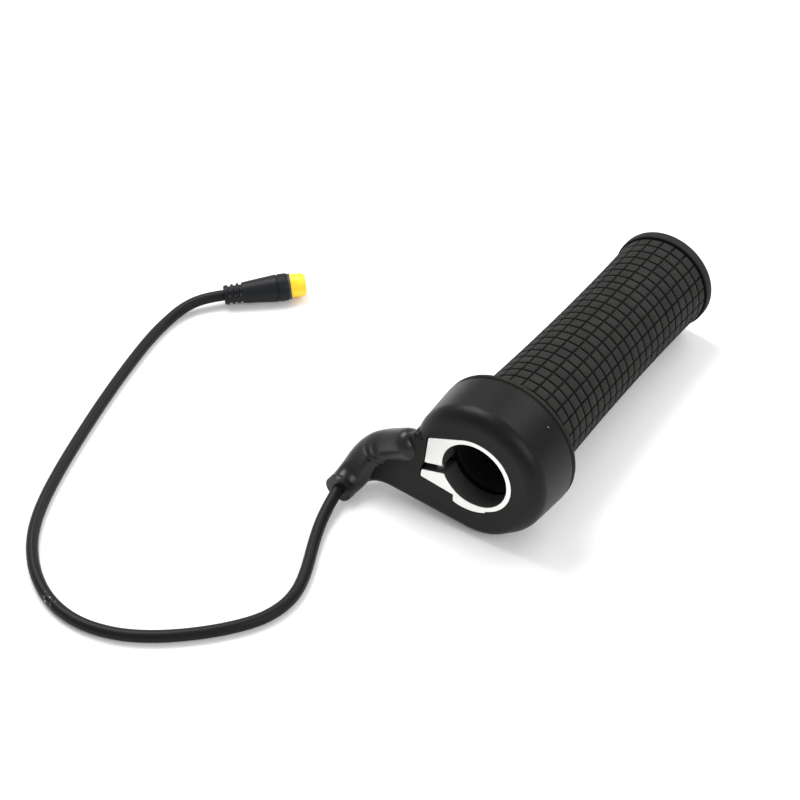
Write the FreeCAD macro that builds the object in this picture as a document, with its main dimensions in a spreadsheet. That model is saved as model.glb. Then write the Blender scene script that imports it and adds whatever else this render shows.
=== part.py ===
import FreeCAD, Part
import Sketcher
import math
import os

# A twist throttle for a 22.2 mm handlebar: housing with clamp, turning grip, cable and connector.
# Millimetres. The bore runs along +Y from the clamp face, Z is up, the cable leaves on the -X side.

Vector = FreeCAD.Vector
UP = Vector(0, 0, 1)
BORE = Vector(0, 1, 0)

# Driving dimensions: name, value, meaning
SIZES = [
    ("bar_radius", 11.1, "handlebar tube radius"),
    ("clamp_ease", 0.1, "clamp bore over the bar, radial"),
    ("clamp_wall", 1.55, "clamp ring wall"),
    ("clamp_depth", 7.0, "clamp width along the bar"),
    ("clamp_roll", 13.5, "clamp slot below the -X side, degrees"),
    ("slot_width", 2.9, "clamp slot"),
    ("lug_reach", 13.9, "upper lug corner from the bore centre, along the slot"),
    ("lug_height", 11.05, "upper lug corner above the slot centre"),
    ("lug_slant", 3.65, "upper lug end, lean at the slot"),
    ("tongue_reach", 20.4, "lower lug corner along the slot"),
    ("tongue_drop", 4.05, "lower lug corner below the slot centre"),
    ("notch_reach", 9.4, "notch corner along the slot"),
    ("notch_drop", 8.75, "notch corner below the slot centre"),
    ("notch_step", 2.45, "height of the notch"),
    ("heel_radius", 14.6, "thick lower part of the clamp, arc radius"),
    ("heel_end", 1.3, "end of the thick part past the bore centre"),
    ("heel_step", 0.4, "thick part over the ring at its end"),
    ("lug_start", 1.4, "upper lug from the bore centre, where it leaves the ring"),
    ("lug_sink", 0.1, "upper lug edge below the ring there"),
    ("tongue_lean", 1.0, "lower lug end, lean at the slot"),
    ("notch_lean", 0.7, "notch side, lean"),
    ("recess_gap", 0.25, "housing recess round the clamp"),
    ("recess_mouth", 1.0, "recess tool in front of the face"),
    ("clamp_screw_at", 14.2, "clamp screw from the bore centre, along the slot"),
    ("clamp_screw_radius", 1.5, "clamp screw thread"),
    ("clamp_thread_reach", 5.2, "clamp screw end above the slot centre"),
    ("clamp_seat_drop", 4.4, "clamp screw seat below the slot centre"),
    ("thread_ease", 0.02, "screws in their holes, radial"),
    ("clamp_hex_radius", 1.4, "hexagon socket of the clamp screw, corner radius"),
    ("clamp_hex_depth", 1.6, "hexagon socket of the clamp screw"),
    ("clamp_head_radius", 2.7, "clamp screw head"),
    ("clamp_head_height", 3.0, "clamp screw head height"),
    ("access_ease", 0.2, "driver hole over the screw head, radial"),
    ("drum_rear_radius", 23.5, "housing drum at the rear"),
    ("drum_draft", 0.8, "drum front below its rear, radial"),
    ("drum_depth", 17.5, "housing drum along the bar"),
    ("front_round", 5.0, "rounded front edge of the drum"),
    ("front_floor", 2.0, "wall behind the clamp recess"),
    ("bar_hole_ease", 0.5, "hole behind the clamp over the bar, radial"),
    ("arm_depth", 8.0, "cable arm along the bar"),
    ("arm_top", 18.0, "arm root above the -X side, degrees"),
    ("arm_rise", 6.3, "rise of the arm's lower edge towards the cable, degrees"),
    ("arm_length", 28.0, "straight lower edge of the arm"),
    ("arm_round", 2.5, "rounded front edge of the arm"),
    ("arm_blend_radius", 18.5, "arm edge running into the drum, arc radius"),
    ("arm_blend_turn", 88.0, "end of that arc from the bottom, degrees"),
    ("web_radius", 11.0, "hollow under the boot, arc radius"),
    ("web_turn", 50.0, "hollow under the boot, degrees"),
    ("web_over", 11.9, "left end of the web from the end of the straight edge"),
    ("web_rise", 1.2, "left end of the web above the end of the straight edge"),
    ("elbow_over", 9.5, "top of the web from the end of the straight edge"),
    ("elbow_rise", 6.6, "top of the web above the end of the straight edge"),
    ("boot_start_out", 3.8, "arm top edge from the drum, where the boot leaves it"),
    ("boot_start_drop", 4.2, "arm top edge below the bore axis there"),
    ("boot_root_out", 0.1, "boot root from the drum"),
    ("boot_root_drop", 1.9, "boot root below the bore axis"),
    ("rim_wall", 2.2, "drum rim round the rear cover"),
    ("cover_ledge", 0.9, "seat of the rear cover inside the rim"),
    ("cover_thickness", 1.6, "rear cover"),
    ("cover_setback", 0.3, "rear cover below the drum rim"),
    ("boss_inset", 2.4, "cover screws from the drum's inside"),
    ("boss_radius", 2.0, "screw bosses"),
    ("boss_step", 105.0, "angle from screw to screw, degrees"),
    ("boss_start", 75.0, "angle of the first screw, degrees"),
    ("cover_screw_radius", 1.0, "cover screw thread"),
    ("cover_head_radius", 1.7, "cover screw head"),
    ("cover_head_height", 0.9, "cover screw head height"),
    ("cover_screw_length", 5.0, "cover screw under the head"),
    ("sleeve_ease", 0.3, "sleeve bore over the bar, radial"),
    ("sleeve_wall", 1.6, "sleeve tube"),
    ("sleeve_nose_gap", 0.5, "sleeve nose behind the front wall"),
    ("running_ease", 0.06, "sleeve in the cover, radial"),
    ("flange_radius", 15.4, "sleeve flange"),
    ("flange_thickness", 1.8, "sleeve flange"),
    ("carrier_gap", 1.1, "magnet carrier to the drum's inside"),
    ("carrier_span", 40.0, "magnet carrier, degrees"),
    ("carrier_rest", 182.0, "magnet carrier at rest, degrees"),
    ("twist_range", 65.0, "throttle travel, degrees"),
    ("stop_ease", 1.5, "carrier to stop rib, degrees"),
    ("stop_width", 2.4, "stop rib"),
    ("stop_length", 3.4, "stop rib from the drum's inside"),
    ("stop_root", 0.5, "stop rib, part inside the drum wall"),
    ("magnet_length", 4.0, "magnet along its arm"),
    ("magnet_width", 3.0, "magnet across"),
    ("magnet_depth", 1.2, "magnet thickness"),
    ("magnet_inset", 3.2, "magnets from the drum's inside"),
    ("magnet_spread", 11.0, "each magnet from the carrier middle, degrees"),
    ("washer_thickness", 0.5, "thrust washer"),
    ("washer_radius", 15.4, "thrust washer"),
    ("float_gap", 0.3, "free play beside turning faces"),
    ("board_gap", 0.3, "sensor board to the drum's inside"),
    ("board_width", 4.4, "sensor board, radial"),
    ("board_span", 40.0, "sensor board, degrees"),
    ("board_middle", 149.5, "sensor board middle, degrees"),
    ("board_thickness", 1.0, "sensor board"),
    ("sensor_width", 4.0, "hall sensor across"),
    ("sensor_length", 3.0, "hall sensor along its leads"),
    ("sensor_thickness", 1.5, "hall sensor"),
    ("sensor_bevel", 0.6, "hall sensor, slanted sides"),
    ("spring_radius", 14.3, "return spring, mean"),
    ("spring_wire", 0.9, "return spring wire"),
    ("spring_pitch", 1.05, "return spring pitch"),
    ("spring_turns", 2.25, "return spring turns"),
    ("lead_radius", 0.5, "sensor wires"),
    ("lead_spacing", 0.75, "sensor wires from the middle of their hole"),
    ("lead_hole_radius", 1.75, "hole for the sensor wires"),
    ("lead_start", 0.2, "sensor wires from the domed boot root"),
    ("lead_hole_back", 5.5, "wire hole from the boot root out to the front of the arm"),
    ("lead_exit", 23.0, "sensor wires out of the front wall, from the board middle, degrees"),
    ("lead_clear", 1.5, "sensor wires above the board where they come out"),
    ("lead_pitch", 1.3, "sensor wires apart on the board"),
    ("lead_landing", 11.0, "sensor wire ends from the board middle, degrees"),
    ("flange_step", 0.3, "grip flange below the drum's rear, radial"),
    ("rubber_flange_lip", 1.5, "grip flange rim"),
    ("flare_end", 22.3, "end of the flare along the bar"),
    ("flare_radius", 17.9, "grip at the end of the flare"),
    ("tread_start", 25.8, "first ring groove along the bar"),
    ("tread_pitch", 4.0, "block rows along the bar"),
    ("tread_rows", 23, "block rows"),
    ("tread_columns", 24, "blocks around"),
    ("groove_width", 0.65, "grooves between the blocks"),
    ("groove_depth", 0.55, "grooves between the blocks"),
    ("tread_front_radius", 17.4, "grip at the first row"),
    ("waist_radius", 16.18, "grip at the waist"),
    ("waist_at", 81.0, "waist along the bar"),
    ("tread_end_radius", 16.72, "grip at the last row"),
    ("rim_radius", 17.45, "grip end rim"),
    ("rim_length", 3.7, "grip end rim"),
    ("rim_round", 0.9, "rounded end of the rim"),
    ("end_wall", 2.6, "closed end of the grip"),
    ("rubber_ease", 0.02, "rubber over the sleeve, radial"),
    ("boot_root_radius", 5.3, "cable boot at the housing"),
    ("boot_end_radius", 4.05, "cable boot at the cable"),
    ("boot_ridge", 0.45, "ridges of the boot"),
    ("boot_collar", 0.25, "collar at the end of the boot"),
    ("boot_collar_length", 2.0, "collar at the end of the boot"),
    ("cable_radius", 1.9, "cable"),
    ("plug_root_radius", 3.1, "connector at the cable"),
    ("plug_radius", 4.6, "connector at the mating end"),
    ("plug_length", 22.6, "connector body"),
    ("plug_front", 4.6, "straight front of the connector"),
    ("plug_edge", 0.5, "bevelled ends of the connector"),
    ("plug_groove", 0.35, "ring groove depth"),
    ("relief_slot", 0.9, "strain relief slots, width"),
    ("relief_depth", 1.0, "strain relief slots, depth"),
    ("relief_pitch", 1.9, "strain relief slots, pitch"),
    ("relief_length", 6.84, "slotted part of the connector"),
    ("relief_growth", 0.25, "slotted part, wider at its end"),
    ("insert_radius", 3.75, "yellow insert"),
    ("insert_proud", 6.2, "yellow insert past the body"),
    ("insert_seat", 4.0, "yellow insert inside the body"),
    ("insert_edge", 0.4, "bevelled mouth of the insert"),
    ("insert_bore", 2.7, "yellow insert socket"),
    ("insert_floor", 4.6, "depth of the insert socket"),
    ("pin_radius", 0.45, "contacts"),
    ("pin_circle", 1.35, "contacts from the connector axis"),
    ("pin_setback", 0.6, "contacts below the mouth of the insert"),
    ("seal_wire", 0.7, "seal ring section"),
]

doc = FreeCAD.newDocument("twist_throttle")
sheet = doc.addObject("Spreadsheet::Sheet", "sizes")
for row, (alias, value, meaning) in enumerate(SIZES, start=1):
    sheet.set(f"A{row}", meaning)
    sheet.set(f"B{row}", str(value))
    sheet.setAlias(f"B{row}", alias)
doc.recompute()


def size(expression):
    """Value of a sheet expression; every word in it is an alias of the sheet."""
    return float(sheet.evalExpression(expression))


def bound(expression):
    """The same expression as seen from another object, with the sheet's name before each alias."""
    out = ""
    word = ""
    for letter in expression + " ":
        if letter.isalnum() or letter in "_.":
            word += letter
            continue
        out += ("sizes." + word if word in ALIASES else word) + letter
        word = ""
    return out.strip()


ALIASES = {alias for alias, _, _ in SIZES}
NODES = []

# Share of a run that an arc of a tube takes up, middle of a rounded edge drawn as two bevels,
# steps of the flare and of one spring turn, and places of the boot's ridges along it
CORNER_SHARE = 0.45
ROUND_SHARE = 0.3
FLARE_STEPS = 4
SPRING_STEPS = 16
BOOT_STEPS = 40
RIDGE_STEPS = (18, 22)


def keep(feature, label):
    """Name a finished sub-part; its label becomes its file name."""
    feature.Label = label
    NODES.append(feature)
    return feature


# Sketch and feature helpers


def origin_part(body, role):
    return next(part for part in body.Origin.OriginFeatures if part.Role == role)


def face_sketch(body, name, at="0", turn="0"):
    """Sketch across the bore: x is X, y is Z, lying at a distance along the bar, turned about the bore."""
    sketch = body.newObject("Sketcher::SketchObject", name)
    sketch.AttachmentSupport = [(origin_part(body, "XZ_Plane"), "")]
    sketch.MapMode = "FlatFace"
    sketch.setExpression("AttachmentOffset.Base.z", bound(f"-({at})"))
    sketch.setExpression("AttachmentOffset.Rotation.Angle", bound(turn))
    return sketch


def profile_sketch(body, name):
    """Sketch for turning: x is the radius, y runs along the bar."""
    sketch = body.newObject("Sketcher::SketchObject", name)
    sketch.AttachmentSupport = [(origin_part(body, "XY_Plane"), "")]
    sketch.MapMode = "FlatFace"
    return sketch


def fix(sketch, kind, element, point, expression):
    rule = Sketcher.Constraint(kind, -1, 1, element, point, size(expression))
    sketch.setExpression(f"Constraints[{sketch.addConstraint(rule)}]", bound(expression))


def arc_between(start, end, radius):
    """Counterclockwise arc, bulging right of the way from start to end, left with a negative radius."""
    chord = end - start
    aside = Vector(chord.y, -chord.x, 0).normalize()
    sagitta = abs(radius) - math.sqrt(radius**2 - (chord.Length / 2) ** 2)
    middle = (start + end) / 2 + aside * math.copysign(sagitta, radius)
    return Part.Arc(start, middle, end) if radius > 0 else Part.Arc(end, middle, start)


def outline(sketch, corners):
    """Closed outline. A corner is (x, y), or (x, y, radius) where an arc runs on to the next corner."""
    spots = [Vector(size(corner[0]), size(corner[1]), 0) for corner in corners]
    ends = []
    for index, corner in enumerate(corners):
        start, end = spots[index], spots[(index + 1) % len(spots)]
        if len(corner) == 2:
            element = sketch.addGeometry(Part.LineSegment(start, end))
            ends.append((element, 1, 2))
            continue
        radius = size(corner[2])
        element = sketch.addGeometry(arc_between(start, end, radius))
        ends.append((element, 1, 2) if radius > 0 else (element, 2, 1))
    for index, (element, _, last) in enumerate(ends):
        after, first, _ = ends[(index + 1) % len(ends)]
        sketch.addConstraint(Sketcher.Constraint("Coincident", element, last, after, first))
    for (element, first, _), corner in zip(ends, corners):
        fix(sketch, "DistanceX", element, first, corner[0])
        fix(sketch, "DistanceY", element, first, corner[1])
        if len(corner) == 3:
            rule = Sketcher.Constraint("Radius", element, abs(size(corner[2])))
            spot = sketch.addConstraint(rule)
            sketch.setExpression(f"Constraints[{spot}]", bound(f"abs({corner[2]})"))


def circle(sketch, x, y, radius):
    element = sketch.addGeometry(Part.Circle(Vector(size(x), size(y), 0), Vector(0, 0, 1), size(radius)))
    fix(sketch, "DistanceX", element, 3, x)
    fix(sketch, "DistanceY", element, 3, y)
    spot = sketch.addConstraint(Sketcher.Constraint("Radius", element, size(radius)))
    sketch.setExpression(f"Constraints[{spot}]", bound(radius))


def new_body(name):
    return doc.addObject("PartDesign::Body", name)


def pad(body, name, sketch, length):
    """Grow a face sketch towards the grip end."""
    feature = body.newObject("PartDesign::Pad", name)
    feature.Profile = sketch
    feature.setExpression("Length", bound(length))
    feature.Reversed = True
    return feature


def pocket(body, name, sketch, length):
    """Cut a face sketch towards the grip end; the volume has to fall."""
    doc.recompute()
    before = body.Shape.Volume
    feature = body.newObject("PartDesign::Pocket", name)
    feature.Profile = sketch
    feature.setExpression("Length", bound(length))
    doc.recompute()
    if not feature.Shape.Volume < before:
        raise RuntimeError(f"{name} cuts nothing")
    return feature


def turned(body, name, corners):
    """Turn an outline of (radius, distance along the bar) about the bore."""
    sketch = profile_sketch(body, name + "_profile")
    outline(sketch, corners)
    feature = body.newObject("PartDesign::Revolution", name)
    feature.Profile = sketch
    feature.ReferenceAxis = (sketch, ["V_Axis"])
    feature.Angle = 360
    return feature


def around(body, name, features, step, count):
    """Repeat features about the bore by a fixed step."""
    doc.recompute()
    pattern = body.newObject("PartDesign::PolarPattern", name)
    pattern.Originals = features
    pattern.Axis = (origin_part(body, "Y_Axis"), [""])
    pattern.setExpression("Angle", bound(f"({step}) * {count - 1}"))
    pattern.Occurrences = count
    body.Tip = pattern
    return pattern


def polar(radius, degrees, along):
    """Point at a radius and an angle from +X towards +Z, at a distance along the bar."""
    angle = math.radians(degrees)
    return Vector(radius * math.cos(angle), along, radius * math.sin(angle))


# Lengths along the bar and radii that several pieces share
WALL_BACK = "clamp_depth + front_floor"
COVER_BACK = "drum_depth - cover_setback"
COVER_SEAT = f"{COVER_BACK} - cover_thickness"
FLANGE_BACK = f"{COVER_SEAT} - washer_thickness - float_gap"
FLANGE_FRONT = f"{FLANGE_BACK} - flange_thickness"
SLEEVE_BORE = "bar_radius + sleeve_ease"
SLEEVE_RADIUS = f"{SLEEVE_BORE} + sleeve_wall"
CLAMP_BORE = "bar_radius + clamp_ease"
CLAMP_RADIUS = f"{CLAMP_BORE} + clamp_wall"
DRUM_FRONT = "drum_rear_radius - drum_draft"
COVER_RADIUS = "drum_rear_radius - rim_wall"
CAVITY = f"{COVER_RADIUS} - cover_ledge"
BOSS_CIRCLE = f"{CAVITY} - boss_inset"
MAGNET_CIRCLE = f"{CAVITY} - magnet_inset"
BOARD_OUTER = f"{CAVITY} - board_gap"
GRIP_START = "drum_depth + float_gap"
TREAD_END = "tread_start + tread_rows * tread_pitch"
GRIP_END = f"{TREAD_END} + groove_width / 2 + rim_length"


# The table that the part lies on touches the drum's rear rim and the grip's end rim
TABLE_SLOPE = size("(drum_rear_radius - rim_radius)") / size(f"{GRIP_END} - rim_round - drum_depth")


def above_table(x, along, lift):
    """Point over the table, at a height above it."""
    rim = size("drum_rear_radius") * math.hypot(1, TABLE_SLOPE)
    return Vector(x, along, -rim + TABLE_SLOPE * (along - size("drum_depth")) + lift)


# Straight lower edge of the cable arm: its outward side, its way, its foot on the drum and its end
ARM_OUT = Vector(-math.sin(math.radians(size("arm_rise"))), 0, -math.cos(math.radians(size("arm_rise"))))
ARM_WAY = BORE.cross(ARM_OUT)
ARM_FOOT = ARM_OUT * size(DRUM_FRONT)
ARM_END = ARM_FOOT + ARM_WAY * size("arm_length")

# Middle line of the cable boot, from the drum along the arm to the cable
BOOT_ROUTE = [
    Vector(-size("drum_rear_radius + boot_root_out"), size("arm_depth / 2"), -size("boot_root_drop")),
    ARM_END + Vector(-9.3, size("arm_depth / 2"), 7.5),
    ARM_END + Vector(-13.8, -0.8, -0.4),
    above_table(ARM_END.x - 13.6, -8.0, 4.35),
]

# Cable from the boot to the connector: x, distance along the bar, height of its middle above the table
CABLE_ROUTE = [
    BOOT_ROUTE[-1],
    above_table(-43.0, -15.5, 3.0),
    above_table(-40.0, -25.5, 1.95),
    above_table(-32.4, -42.0, 1.95),
    above_table(-30.6, -51.5, 1.95),
    above_table(-32.6, -60.3, 1.95),
    above_table(-38.0, -68.2, 1.95),
    above_table(-46.8, -77.0, 1.95),
    above_table(-57.0, -84.6, 1.95),
    above_table(-67.5, -89.6, 1.95),
    above_table(-79.5, -91.6, 1.95),
    above_table(-91.5, -89.4, 1.95),
    above_table(-103.0, -82.9, 1.95),
    above_table(-112.6, -73.4, 1.95),
    above_table(-119.2, -62.3, 1.95),
    above_table(-124.6, -48.5, 1.95),
    above_table(-130.4, -29.5, 1.95),
    above_table(-136.0, -8.5, 1.95),
    above_table(-139.9, 9.5, 1.95),
    above_table(-141.9, 21.0, 1.95),
    above_table(-142.6, 30.0, 1.95),
    above_table(-141.8, 38.8, 2.8),
    above_table(-138.0, 45.9, 3.8),
    above_table(-132.8, 50.5, 4.0),
]


# Where the sensor wires come out of the front wall, and the way of their hole
LEAD_EXIT = polar(
    size(MAGNET_CIRCLE),
    size("board_middle + lead_exit"),
    size(f"{WALL_BACK} + board_thickness + lead_clear"),
)
LEAD_WAY = (LEAD_EXIT - BOOT_ROUTE[0]).normalize()


def clamp_outline(sketch, grow="1"):
    """Clamp lugs with the slot along -X: thick upper lug, wedge-shaped lower lug, notch and heel."""
    corners = [
        ("-lug_start", f"{CLAMP_RADIUS} - lug_sink"),
        ("-lug_reach", "lug_height"),
        ("-(lug_reach + lug_slant)", "slot_width / 2"),
        ("-(tongue_reach - tongue_lean)", "-slot_width / 2"),
        ("-tongue_reach", "-tongue_drop"),
        ("-notch_reach", "-notch_drop"),
        ("-(notch_reach + notch_lean)", "-(notch_drop + notch_step)", "heel_radius"),
        ("heel_end", f"-({CLAMP_RADIUS} + heel_step)"),
        ("heel_end", "0"),
    ]
    grown = [tuple(f"({part}) * ({grow})" for part in corner) for corner in corners]
    outline(sketch, grown)


def make_clamp_ring():
    body = new_body("clamp_body")
    ring = face_sketch(body, "ring")
    circle(ring, "0", "0", CLAMP_RADIUS)
    pad(body, "ring_pad", ring, "clamp_depth")
    lugs = face_sketch(body, "lugs", turn="clamp_roll")
    clamp_outline(lugs)
    pad(body, "lug_pad", lugs, "clamp_depth")
    bore = face_sketch(body, "bore")
    circle(bore, "0", "0", CLAMP_BORE)
    pocket(body, "bore_cut", bore, "clamp_depth")
    slot = face_sketch(body, "slot", turn="clamp_roll")
    outline(
        slot,
        [
            ("-tongue_reach - slot_width", "-slot_width / 2"),
            ("0", "-slot_width / 2"),
            ("0", "slot_width / 2"),
            ("-tongue_reach - slot_width", "slot_width / 2"),
        ],
    )
    pocket(body, "slot_cut", slot, "clamp_depth")
    hole = on_screw_line("Part::Cylinder", "clamp_screw_hole", "-clamp_seat_drop", "clamp_thread_reach")
    hole.setExpression("Radius", bound("clamp_screw_radius + thread_ease"))
    seat = on_screw_line(
        "Part::Cylinder", "clamp_screw_seat", "-clamp_seat_drop - lug_height", "-clamp_seat_drop"
    )
    seat.setExpression("Radius", bound("clamp_head_radius + access_ease"))
    return keep(cut(body, [hole, seat], "clamp_ring_cut"), "clamp_ring")


def on_screw_line(kind, name, start, end):
    """A primitive along the clamp screw, which crosses the slot; start and end are above the slot centre."""
    part = doc.addObject(kind, name)
    part.setExpression("Height", bound(f"({end}) - ({start})"))
    part.Placement.Rotation = FreeCAD.Rotation(BORE * -1, 1)
    part.setExpression("Placement.Rotation.Angle", bound("clamp_roll"))
    part.setExpression(
        "Placement.Base.x",
        bound(f"-clamp_screw_at * cos(clamp_roll * 1deg) - ({start}) * sin(clamp_roll * 1deg)"),
    )
    part.setExpression("Placement.Base.y", bound("clamp_depth / 2"))
    part.setExpression(
        "Placement.Base.z",
        bound(f"-clamp_screw_at * sin(clamp_roll * 1deg) + ({start}) * cos(clamp_roll * 1deg)"),
    )
    return part


def cut(base, tools, name):
    """Base less all the tools."""
    group = tools[0]
    if len(tools) > 1:
        group = doc.addObject("Part::MultiFuse", name + "_tools")
        group.Shapes = tools
    feature = doc.addObject("Part::Cut", name)
    feature.Base = base
    feature.Tool = group
    return feature


def fused(parts, name):
    feature = doc.addObject("Part::MultiFuse", name)
    feature.Shapes = parts
    return feature


def make_clamp_screw():
    shank = on_screw_line("Part::Cylinder", "clamp_shank", "-clamp_seat_drop", "clamp_thread_reach")
    shank.setExpression("Radius", bound("clamp_screw_radius"))
    head = on_screw_line(
        "Part::Cylinder", "clamp_head", "-clamp_seat_drop - clamp_head_height", "-clamp_seat_drop"
    )
    head.setExpression("Radius", bound("clamp_head_radius"))
    socket = on_screw_line(
        "Part::Prism",
        "clamp_hex",
        "-clamp_seat_drop - clamp_head_height",
        "-clamp_seat_drop - clamp_head_height + clamp_hex_depth",
    )
    socket.Polygon = 6
    socket.setExpression("Circumradius", bound("clamp_hex_radius"))
    return keep(cut(fused([shank, head], "clamp_screw_blank"), [socket], "clamp_screw_cut"), "clamp_screw")


def make_housing():
    """Drum with its cavity, screw bosses and stop ribs, the cable arm and the clamp recess."""
    body = new_body("housing_body")
    turned(
        body,
        "drum",
        [
            ("bar_radius + bar_hole_ease", "0"),
            (f"{DRUM_FRONT} - front_round", "0", "front_round"),
            (DRUM_FRONT, "front_round"),
            ("drum_rear_radius", "drum_depth"),
            (f"{COVER_RADIUS} + thread_ease", "drum_depth"),
            (f"{COVER_RADIUS} + thread_ease", COVER_SEAT),
            (CAVITY, COVER_SEAT),
            (CAVITY, WALL_BACK),
            ("bar_radius + bar_hole_ease", WALL_BACK),
        ],
    )
    boss = face_sketch(body, "boss", WALL_BACK, "boss_start")
    circle(boss, BOSS_CIRCLE, "0", "boss_radius")
    boss_pad = pad(body, "boss_pad", boss, f"{COVER_SEAT} - ({WALL_BACK})")
    around(body, "bosses", [boss_pad], "boss_step", 3)
    for name, angle in (
        ("rest_stop", "carrier_rest + carrier_span / 2 + stop_ease"),
        ("full_stop", "carrier_rest - twist_range - carrier_span / 2 - stop_ease"),
    ):
        side = 1 if name == "rest_stop" else -1
        rib = face_sketch(body, name, WALL_BACK, angle)
        outline(
            rib,
            [
                (f"{CAVITY} - stop_length", "0"),
                (f"{CAVITY} + stop_root", "0"),
                (f"{CAVITY} + stop_root", f"{side} * stop_width"),
                (f"{CAVITY} - stop_length", f"{side} * stop_width"),
            ],
        )
        pad(body, name + "_pad", rib, f"{COVER_SEAT} - ({WALL_BACK})")
    screw_hole = face_sketch(body, "screw_hole", f"{COVER_SEAT} - cover_screw_length", "boss_start")
    circle(screw_hole, BOSS_CIRCLE, "0", "cover_screw_radius + thread_ease")
    hole_cut = pocket(body, "screw_hole_cut", screw_hole, "cover_screw_length")
    around(body, "screw_holes", [hole_cut], "boss_step", 3)
    driver = on_screw_line("Part::Cylinder", "driver_hole", "-drum_rear_radius * 1.5", "-clamp_seat_drop")
    driver.setExpression("Radius", bound("clamp_head_radius + access_ease"))
    lead_hole = doc.addObject("Part::Cylinder", "lead_hole")
    lead_hole.setExpression("Radius", bound("lead_hole_radius"))
    hole_start = BOOT_ROUTE[0] - LEAD_WAY * size("lead_hole_back")
    lead_hole.Height = (LEAD_EXIT - hole_start).Length
    lead_hole.Placement = FreeCAD.Placement(hole_start, FreeCAD.Rotation(UP, LEAD_WAY))
    shell = fused([body, make_arm()], "housing_blank")
    return keep(cut(shell, [make_recess(), driver, lead_hole], "housing_cut"), "housing")


def make_recess():
    """Room for the clamp, open at the front."""
    body = new_body("recess_body")
    ring = face_sketch(body, "ring_room", "-recess_mouth")
    circle(ring, "0", "0", f"{CLAMP_RADIUS} + recess_gap")
    pad(body, "ring_room_pad", ring, "clamp_depth + recess_mouth")
    lugs = face_sketch(body, "lug_room", "-recess_mouth", "clamp_roll")
    clamp_outline(lugs, f"1 + recess_gap / ({CLAMP_RADIUS})")
    pad(body, "lug_room_pad", lugs, "clamp_depth + recess_mouth")
    return body


def make_arm():
    """Plate that carries the cable boot: a straight lower edge between the drum and the hollow of the web."""
    body = new_body("arm_body")
    plate = face_sketch(body, "arm_plate")
    sine, cosine = "sin(arm_rise * 1deg)", "cos(arm_rise * 1deg)"
    foot = (f"-({DRUM_FRONT}) * {sine}", f"-({DRUM_FRONT}) * {cosine}")
    end = (f"{foot[0]} - arm_length * {cosine}", f"{foot[1]} + arm_length * {sine}")
    blend = f"({DRUM_FRONT} - arm_blend_radius)"
    corners = [
        foot,
        (*end, "web_radius"),
        (
            f"{end[0]} - web_radius * ({sine} + sin((web_turn - arm_rise) * 1deg))",
            f"{end[1]} - web_radius * ({cosine} - cos((web_turn - arm_rise) * 1deg))",
        ),
        (f"{end[0]} - web_over", f"{end[1]} + web_rise"),
        (f"{end[0]} - elbow_over", f"{end[1]} + elbow_rise"),
        ("-(drum_rear_radius + boot_start_out)", "-boot_start_drop"),
        (f"-({DRUM_FRONT}) * cos(arm_top * 1deg)", f"({DRUM_FRONT}) * sin(arm_top * 1deg)"),
        (f"-({CLAMP_RADIUS}) * cos(arm_top * 1deg)", f"({CLAMP_RADIUS}) * sin(arm_top * 1deg)", CLAMP_RADIUS),
        ("0", f"-({CLAMP_RADIUS})", CLAMP_RADIUS),
        (f"({CLAMP_RADIUS}) * cos(arm_top * 1deg)", f"-({CLAMP_RADIUS}) * sin(arm_top * 1deg)"),
        (
            f"arm_blend_radius * sin(arm_blend_turn * 1deg) - {blend} * {sine}",
            f"-arm_blend_radius * cos(arm_blend_turn * 1deg) - {blend} * {cosine}",
            "-arm_blend_radius",
        ),
    ]
    outline(plate, corners)
    pad(body, "arm_pad", plate, "arm_depth")
    round_edges(body, "arm_front", [ARM_FOOT + ARM_WAY * size("arm_length / 2")], "arm_round")
    return body


def round_edges(body, name, spots, radius):
    """Round the edges that pass through the given points."""
    doc.recompute()
    edges = [
        f"Edge{number}"
        for number, edge in enumerate(body.Shape.Edges, start=1)
        if any(edge.distToShape(Part.Vertex(spot))[0] < 0.01 for spot in spots)
    ]
    base = body.Tip
    feature = body.newObject("PartDesign::Fillet", name)
    feature.Base = (base, edges)
    feature.setExpression("Radius", bound(radius))
    return feature


def make_rear_cover():
    body = new_body("cover_body")
    turned(
        body,
        "cover_plate",
        [
            (f"{SLEEVE_RADIUS} + running_ease", COVER_SEAT),
            (COVER_RADIUS, COVER_SEAT),
            (COVER_RADIUS, COVER_BACK),
            (f"{SLEEVE_RADIUS} + running_ease", COVER_BACK),
        ],
    )
    hole = face_sketch(body, "cover_hole", COVER_SEAT, "boss_start")
    circle(hole, BOSS_CIRCLE, "0", "cover_screw_radius + thread_ease")
    through = pocket(body, "cover_hole_cut", hole, "cover_thickness")
    around(body, "cover_holes", [through], "boss_step", 3)
    head = face_sketch(body, "head_room", f"{COVER_BACK} - cover_head_height", "boss_start")
    circle(head, BOSS_CIRCLE, "0", "cover_head_radius + thread_ease")
    room = pocket(body, "head_room_cut", head, "cover_head_height")
    around(body, "head_rooms", [room], "boss_step", 3)
    return keep(body, "rear_cover")


def make_cover_screws():
    """Three screws with their heads sunk in the cover: one node of separate solids."""
    body_parts = []
    for index in range(3):
        angle = size("boss_start") - index * size("boss_step")
        spot = polar(size(BOSS_CIRCLE), angle, size(f"{COVER_BACK} - cover_head_height"))
        shank_end = spot - BORE * size("cover_screw_length - (cover_thickness - cover_head_height)")
        shank = Part.makeCylinder(size("cover_screw_radius"), (spot - shank_end).Length, shank_end, BORE)
        head = Part.makeCylinder(size("cover_head_radius"), size("cover_head_height"), spot, BORE)
        body_parts.append(shank.fuse(head))
    screws = doc.addObject("Part::Feature", "cover_screw_set")
    screws.Shape = Part.makeCompound(body_parts)
    return keep(screws, "cover_screws")


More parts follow.
